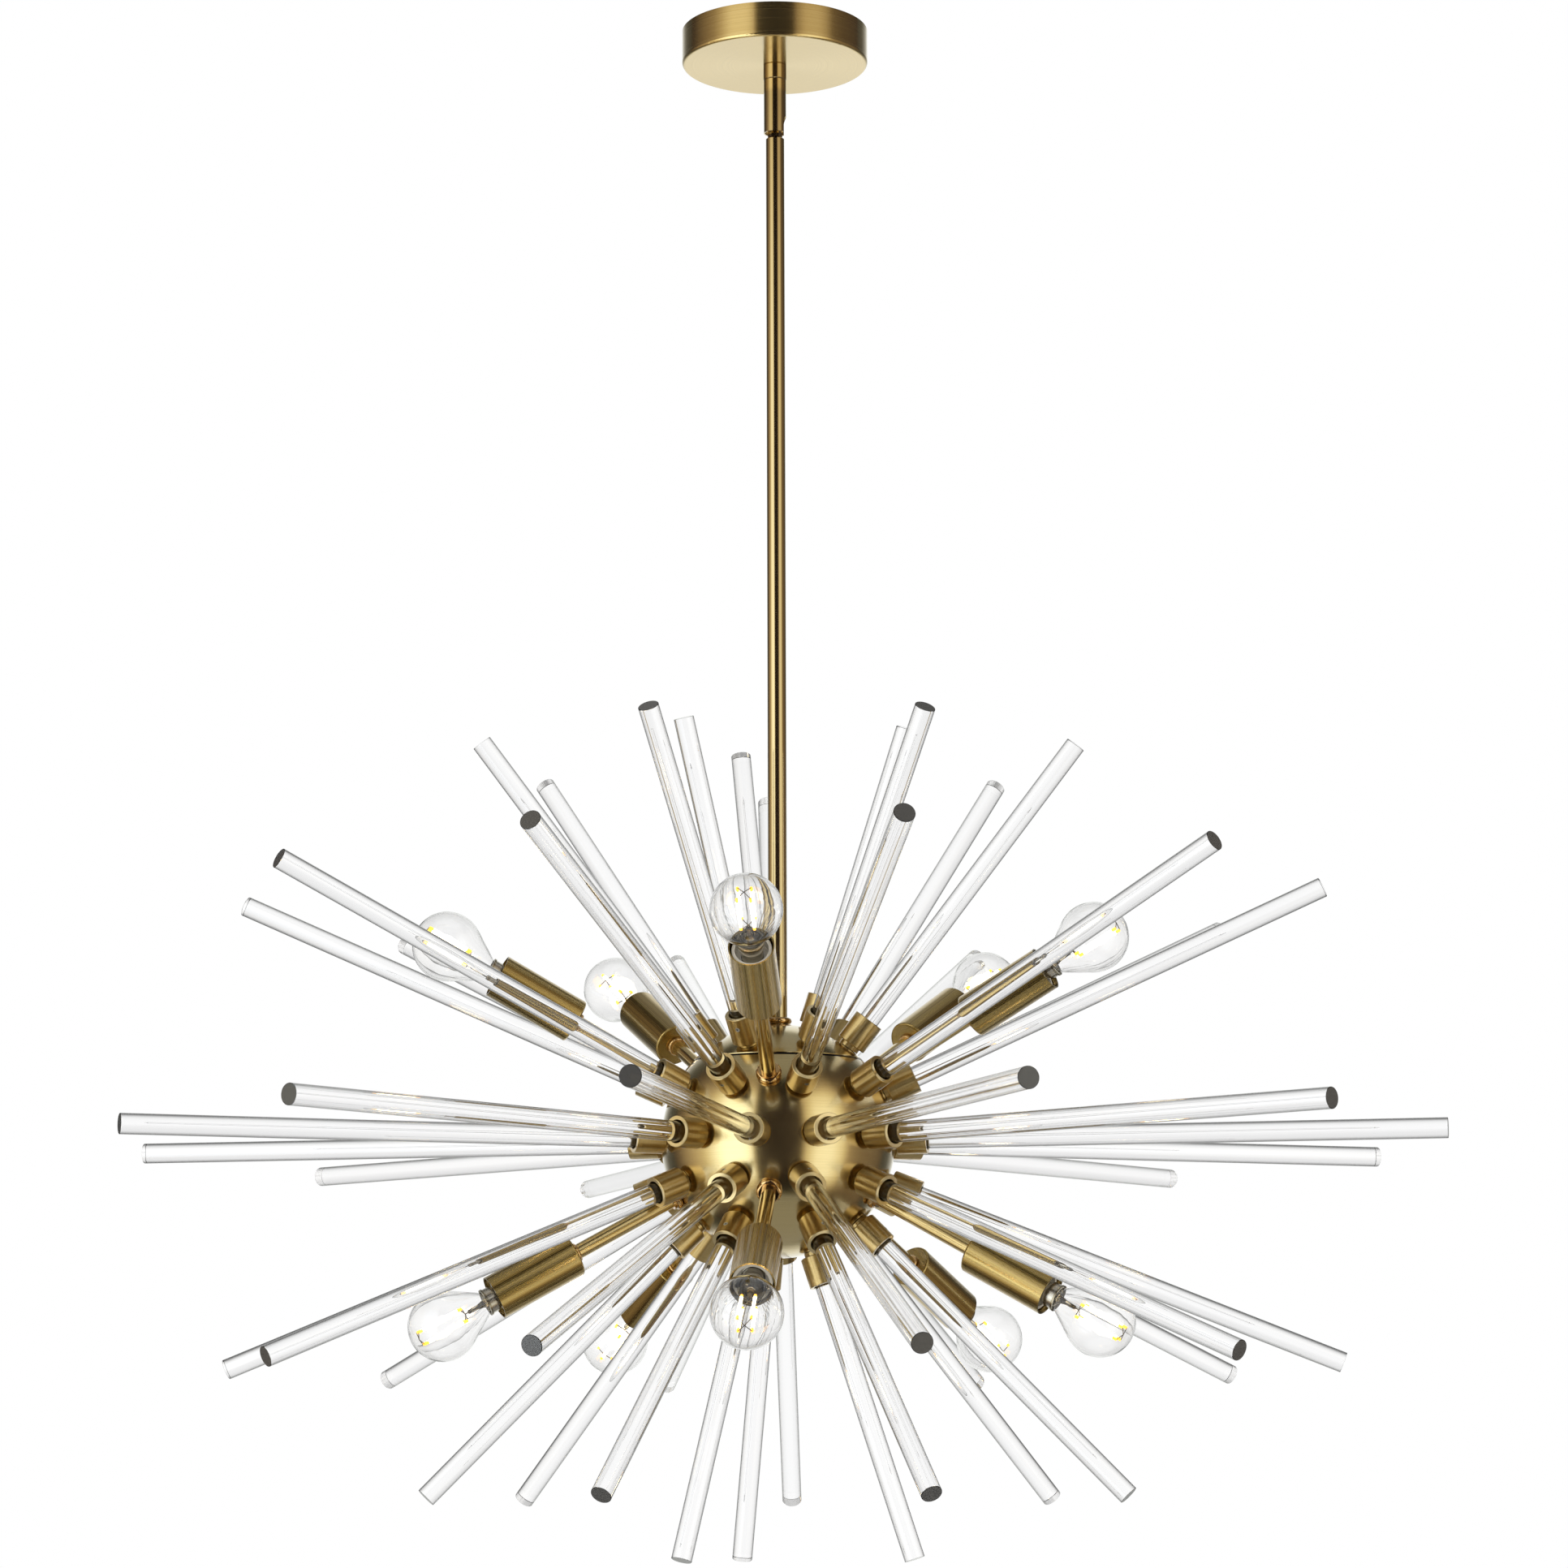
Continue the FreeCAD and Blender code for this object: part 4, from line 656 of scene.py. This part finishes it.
def solidsOf(nodeName):
    # every solid of a node as (direction from the ball, distance of its inner end, of its outer end)
    mesh = bmesh.new()
    mesh.from_mesh(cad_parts[nodeName].data)
    bmesh.ops.remove_doubles(mesh, verts=mesh.verts, dist=weldReach * mm)
    left = set(mesh.verts)
    found = []
    for first in mesh.verts:        # in the mesh's own order, so that every run finds the same
        if first not in left:
            continue
        left.remove(first)
        island = [first]
        for vertex in island:
            for edge in vertex.link_edges:
                other = edge.other_vert(vertex)
                if other in left:
                    left.remove(other)
                    island.append(other)
        low = Vector(min(v.co[i] for v in island) for i in range(3))
        high = Vector(max(v.co[i] for v in island) for i in range(3))
        direction = ((low + high) / 2 - ballCentre).normalized()
        reach = [(v.co - ballCentre).dot(direction) for v in island]
        found.append((direction, min(reach), max(reach)))
    mesh.free()
    return found


def alongRay(direction, distance=0.0):
    # local +Z goes outwards from the ball
    turn = direction.to_track_quat("Z", "Y").to_matrix().to_4x4()
    return Matrix.Translation(ballCentre + direction * distance) @ turn


def startPiece(name):
    piece = bpy.context.object
    piece.name = name
    piece.data.name = name
    return piece


def selectFaces(piece, keep):
    # in edit mode: selects the faces that keep(face) says, and nothing else
    mesh = bmesh.from_edit_mesh(piece.data)
    for face in mesh.faces:
        face.select_set(False)
    for face in mesh.faces:
        if keep(face):
            face.select_set(True)
    mesh.select_flush_mode()
    bmesh.update_edit_mesh(piece.data)


rodLook = {
    "radius": 6.75 * mm, "sides": 48,
    "edge": 0.35 * mm, "edgeSteps": 2,      # bevel of the sawn ends
    "endFacing": 0.99,                      # how squarely a face of the end looks along the rod
    "smoothAngle": 12,                      # degrees, keeps the bevel out of the wall's shading
}


def makeRod(name, length, look):
    # a sawn and polished rod with its inner end at 0, lying along +Z
    bpy.ops.object.select_all(action="DESELECT")
    bpy.ops.mesh.primitive_cylinder_add(vertices=look["sides"], radius=look["radius"], depth=length,
                                        location=(0, 0, length / 2), end_fill_type="NGON")
    rod = startPiece(name)
    bpy.ops.object.transform_apply(location=True)
    bpy.ops.object.mode_set(mode="EDIT")
    bpy.ops.mesh.select_mode(type="FACE")
    selectFaces(rod, lambda face: abs(face.normal.z) > look["endFacing"])
    bpy.ops.mesh.bevel(offset=look["edge"], segments=look["edgeSteps"], profile=0.5)
    bpy.ops.object.mode_set(mode="OBJECT")
    rod.data.materials.append(rodGlass)
    rod.data.materials.append(rodEnd)
    for face in rod.data.polygons:
        face.material_index = 1 if abs(face.normal.z) > look["endFacing"] else 0
    bpy.ops.object.shade_smooth_by_angle(angle=math.radians(look["smoothAngle"]))
    return rod


def copiesAlong(model, places):
    # one mesh holding a copy of the model at every place
    copies = []
    for place in places:
        copy = model.copy()
        copy.data = model.data.copy()
        scene.collection.objects.link(copy)
        copy.data.transform(place)
        copies.append(copy)
    bpy.ops.object.select_all(action="DESELECT")
    for copy in copies:
        copy.select_set(True)
    bpy.context.view_layer.objects.active = copies[0]
    if len(copies) > 1:
        bpy.ops.object.join()
    return bpy.context.object


def clearRods(nodeName):
    solids = solidsOf(nodeName)
    length = solids[0][2] - solids[0][1]
    model = makeRod("rodModel", length, rodLook)
    rods = copiesAlong(model, [alongRay(direction, inner) for direction, inner, _ in solids])
    bpy.data.objects.remove(model)
    rods.name = nodeName.replace("rods", "clear_rods")
    rods.data.name = rods.name
    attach(rods, "chandelier")
    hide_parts(nodeName)
    print(rods.name, len(solids), "rods of", round(length / mm, 1), "mm")


for nodeName in ("rods_equator", "rods_low", "rods_mid", "rods_steep"):
    clearRods(nodeName)


# heights are distances from the ball's centre, in mm like the rest
lamp = {
    "sides": 40, "ballSteps": 16, "footSides": 20,
    "neckRadius": 7.4, "neckFrom": 219.0, "neckTo": 223.5,
    "ballRadius": 23.0, "ballAt": 255.0, "coneSlope": 32.1,     # degrees
    "wall": 0.8, "poleRadius": 0.4,
    # outlines of the foot and of the thin post on it, as share of the radius and height
    "footRadius": 6.4, "foot": [(1.0, 221.5), (0.72, 222.8), (0.42, 224.8), (0.32, 227.0)],
    "postRadius": 1.5, "post": [(1.0, 229.5), (0.85, 236.4), (0.2, 237.0)],
    "lowCross": 240.0, "highCross": 271.5, "stickCircle": 6.0, "stickRadius": 1.05, "stickEnd": 3.0,
    "stickSides": 12, "capShare": 0.9,      # of the stick's radius
    "wireRadius": 0.28, "crossRise": 1.2,
    # the two leads: out of the foot, to the bend and to the lower cross, as distance from the axis and height
    "leadStart": (2.0, 224.0), "leadBend": (2.6, 233.0), "leadEnd": 0.6,
    "smoothAngle": 40,      # degrees
}


def turnedPiece(name, outline, sides):
    # outline: (radius, height) in mm from the bottom up, swept round Z by extruding a ring of edges
    bpy.ops.object.select_all(action="DESELECT")
    radius, height = outline[0]
    bpy.ops.mesh.primitive_circle_add(vertices=sides, radius=radius * mm, fill_type="NOTHING",
                                      location=(0, 0, height * mm))
    piece = startPiece(name)
    bpy.ops.object.transform_apply(location=True)
    bpy.ops.object.mode_set(mode="EDIT")
    bpy.ops.mesh.select_mode(type="EDGE")
    bpy.ops.mesh.select_all(action="SELECT")
    for nextRadius, nextHeight in outline[1:]:
        bpy.ops.mesh.extrude_edges_move(TRANSFORM_OT_translate={"value": (0, 0, (nextHeight - height) * mm)})
        size = nextRadius / radius
        bpy.ops.transform.resize(value=(size, size, 1), center_override=(0, 0, nextHeight * mm))
        radius, height = nextRadius, nextHeight
    bpy.ops.mesh.merge(type="CENTER")       # closes the top
    bpy.ops.mesh.select_all(action="SELECT")
    bpy.ops.mesh.normals_make_consistent(inside=False)
    bpy.ops.object.mode_set(mode="OBJECT")
    bpy.ops.object.shade_smooth()
    return piece


def envelopeOutline(look):
    slope = math.radians(look["coneSlope"])
    points = [(look["neckRadius"], look["neckFrom"]), (look["neckRadius"], look["neckTo"])]
    first = -slope          # the cone meets the ball at this angle below its equator
    for step in range(look["ballSteps"]):
        angle = first + (math.pi / 2 - first) * step / look["ballSteps"]
        height = look["ballAt"] + look["ballRadius"] * math.sin(angle)
        points.append((look["ballRadius"] * math.cos(angle), height))
    points.append((look["poleRadius"], look["ballAt"] + look["ballRadius"]))
    return points


def makeEnvelope(look):
    piece = turnedPiece("envelopeModel", envelopeOutline(look), look["sides"])
    wall = piece.modifiers.new("wall", "SOLIDIFY")
    wall.thickness = look["wall"] * mm
    wall.offset = -1.0
    bpy.ops.object.modifier_apply(modifier="wall")
    piece.data.materials.append(bulbGlass)
    return piece


def makeFoot(look):
    # pressed glass foot that carries the wires, drawn out into a thin post
    outline = [(look["footRadius"] * share, height) for share, height in look["foot"]]
    outline += [(look["postRadius"] * share, height) for share, height in look["post"]]
    piece = turnedPiece("footModel", outline, look["footSides"])
    bpy.ops.object.mode_set(mode="EDIT")
    bpy.ops.mesh.select_all(action="SELECT")
    bpy.ops.mesh.fill_holes(sides=0)
    bpy.ops.mesh.normals_make_consistent(inside=False)
    bpy.ops.object.mode_set(mode="OBJECT")
    piece.data.materials.append(stemGlass)
    return piece


def wireBetween(start, end, radius, sides=8):
    # a straight length of wire between two points, in mm
    a, b = Vector(start) * mm, Vector(end) * mm
    bpy.ops.mesh.primitive_cylinder_add(vertices=sides, radius=radius * mm, depth=(b - a).length,
                                        end_fill_type="NGON", location=(a + b) / 2,
                                        rotation=(b - a).to_track_quat("Z", "Y").to_euler())
    bpy.ops.object.transform_apply(location=True, rotation=True)
    return bpy.context.object


def joined(name, pieces, finish, smoothAngle):
    bpy.ops.object.select_all(action="DESELECT")
    for piece in pieces:
        piece.select_set(True)
    bpy.context.view_layer.objects.active = pieces[0]
    bpy.ops.object.join()
    whole = startPiece(name)
    bpy.ops.object.shade_smooth_by_angle(angle=math.radians(smoothAngle))
    whole.data.materials.clear()
    whole.data.materials.append(finish)
    return whole


def stickCorner(look, quarter):
    # place of one of the four sticks across the lamp's axis
    angle = math.radians(45 + 90 * quarter)
    return look["stickCircle"] * math.cos(angle), look["stickCircle"] * math.sin(angle)


def makeWires(look):
    # two leads out of the foot, and a cross at each end of the four sticks
    pieces = []
    thick, rise = look["wireRadius"], look["crossRise"]
    for height, way in ((look["lowCross"], -1), (look["highCross"], 1)):
        for quarter in range(4):
            x, y = stickCorner(look, quarter)
            pieces.append(wireBetween((0, 0, height + way * rise), (x, y, height), thick))
    startAway, startHeight = look["leadStart"]
    bendAway, bendHeight = look["leadBend"]
    for side in (-1, 1):
        bend = (side * bendAway, 0, bendHeight)
        pieces.append(wireBetween((side * startAway, 0, startHeight), bend, thick))
        pieces.append(wireBetween(bend, (side * look["leadEnd"], 0, look["lowCross"] - rise), thick))
    return joined("wiresModel", pieces, wireDark, look["smoothAngle"])


def makeSticks(look):
    # lit sticks, and the dimmer orange caps at both of their ends
    sticks, ends = [], []
    sides, thick, capThick = look["stickSides"], look["stickRadius"], look["stickRadius"] * look["capShare"]
    low, high = look["lowCross"] + look["stickEnd"], look["highCross"] - look["stickEnd"]
    for quarter in range(4):
        x, y = stickCorner(look, quarter)
        sticks.append(wireBetween((x, y, low), (x, y, high), thick, sides))
        ends.append(wireBetween((x, y, look["lowCross"]), (x, y, low), capThick, sides))
        ends.append(wireBetween((x, y, high), (x, y, look["highCross"]), capThick, sides))
    lit = joined("sticksModel", sticks, filamentGlow, look["smoothAngle"])
    return lit, joined("endsModel", ends, filamentEnd, look["smoothAngle"])


envelopeModel = makeEnvelope(lamp)
footModel = makeFoot(lamp)
wiresModel = makeWires(lamp)
sticksModel, endsModel = makeSticks(lamp)
lampPieces = [
    ("envelope", envelopeModel, "lamp_glass"), ("foot", footModel, "lamp_glass"),
    ("leads", wiresModel, "contact_metal"), ("filaments", sticksModel, "lamp_glass"),
    ("filament_ends", endsModel, "lamp_glass"),
]
for row in ("upper", "lower"):
    for number in range(1, 6):
        bulb = f"bulb_{row}_{number}"
        # the cap's outermost ring lies truest on the lamp's axis
        direction = max(solidsOf(bulb + "_base"), key=lambda solid: solid[1])[0]
        for part, model, slotName in lampPieces:
            piece = model.copy()
            piece.data = model.data.copy()
            piece.name = f"{bulb}_{part}"
            piece.data.name = piece.name
            scene.collection.objects.link(piece)
            piece.data.transform(alongRay(direction))
            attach(piece, bulb)
            if part == "envelope":
                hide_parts(bulb + "_globe")
for _, model, _ in lampPieces:
    bpy.data.objects.remove(model)
print("lamps made")


scene.view_settings.view_transform = "Standard"
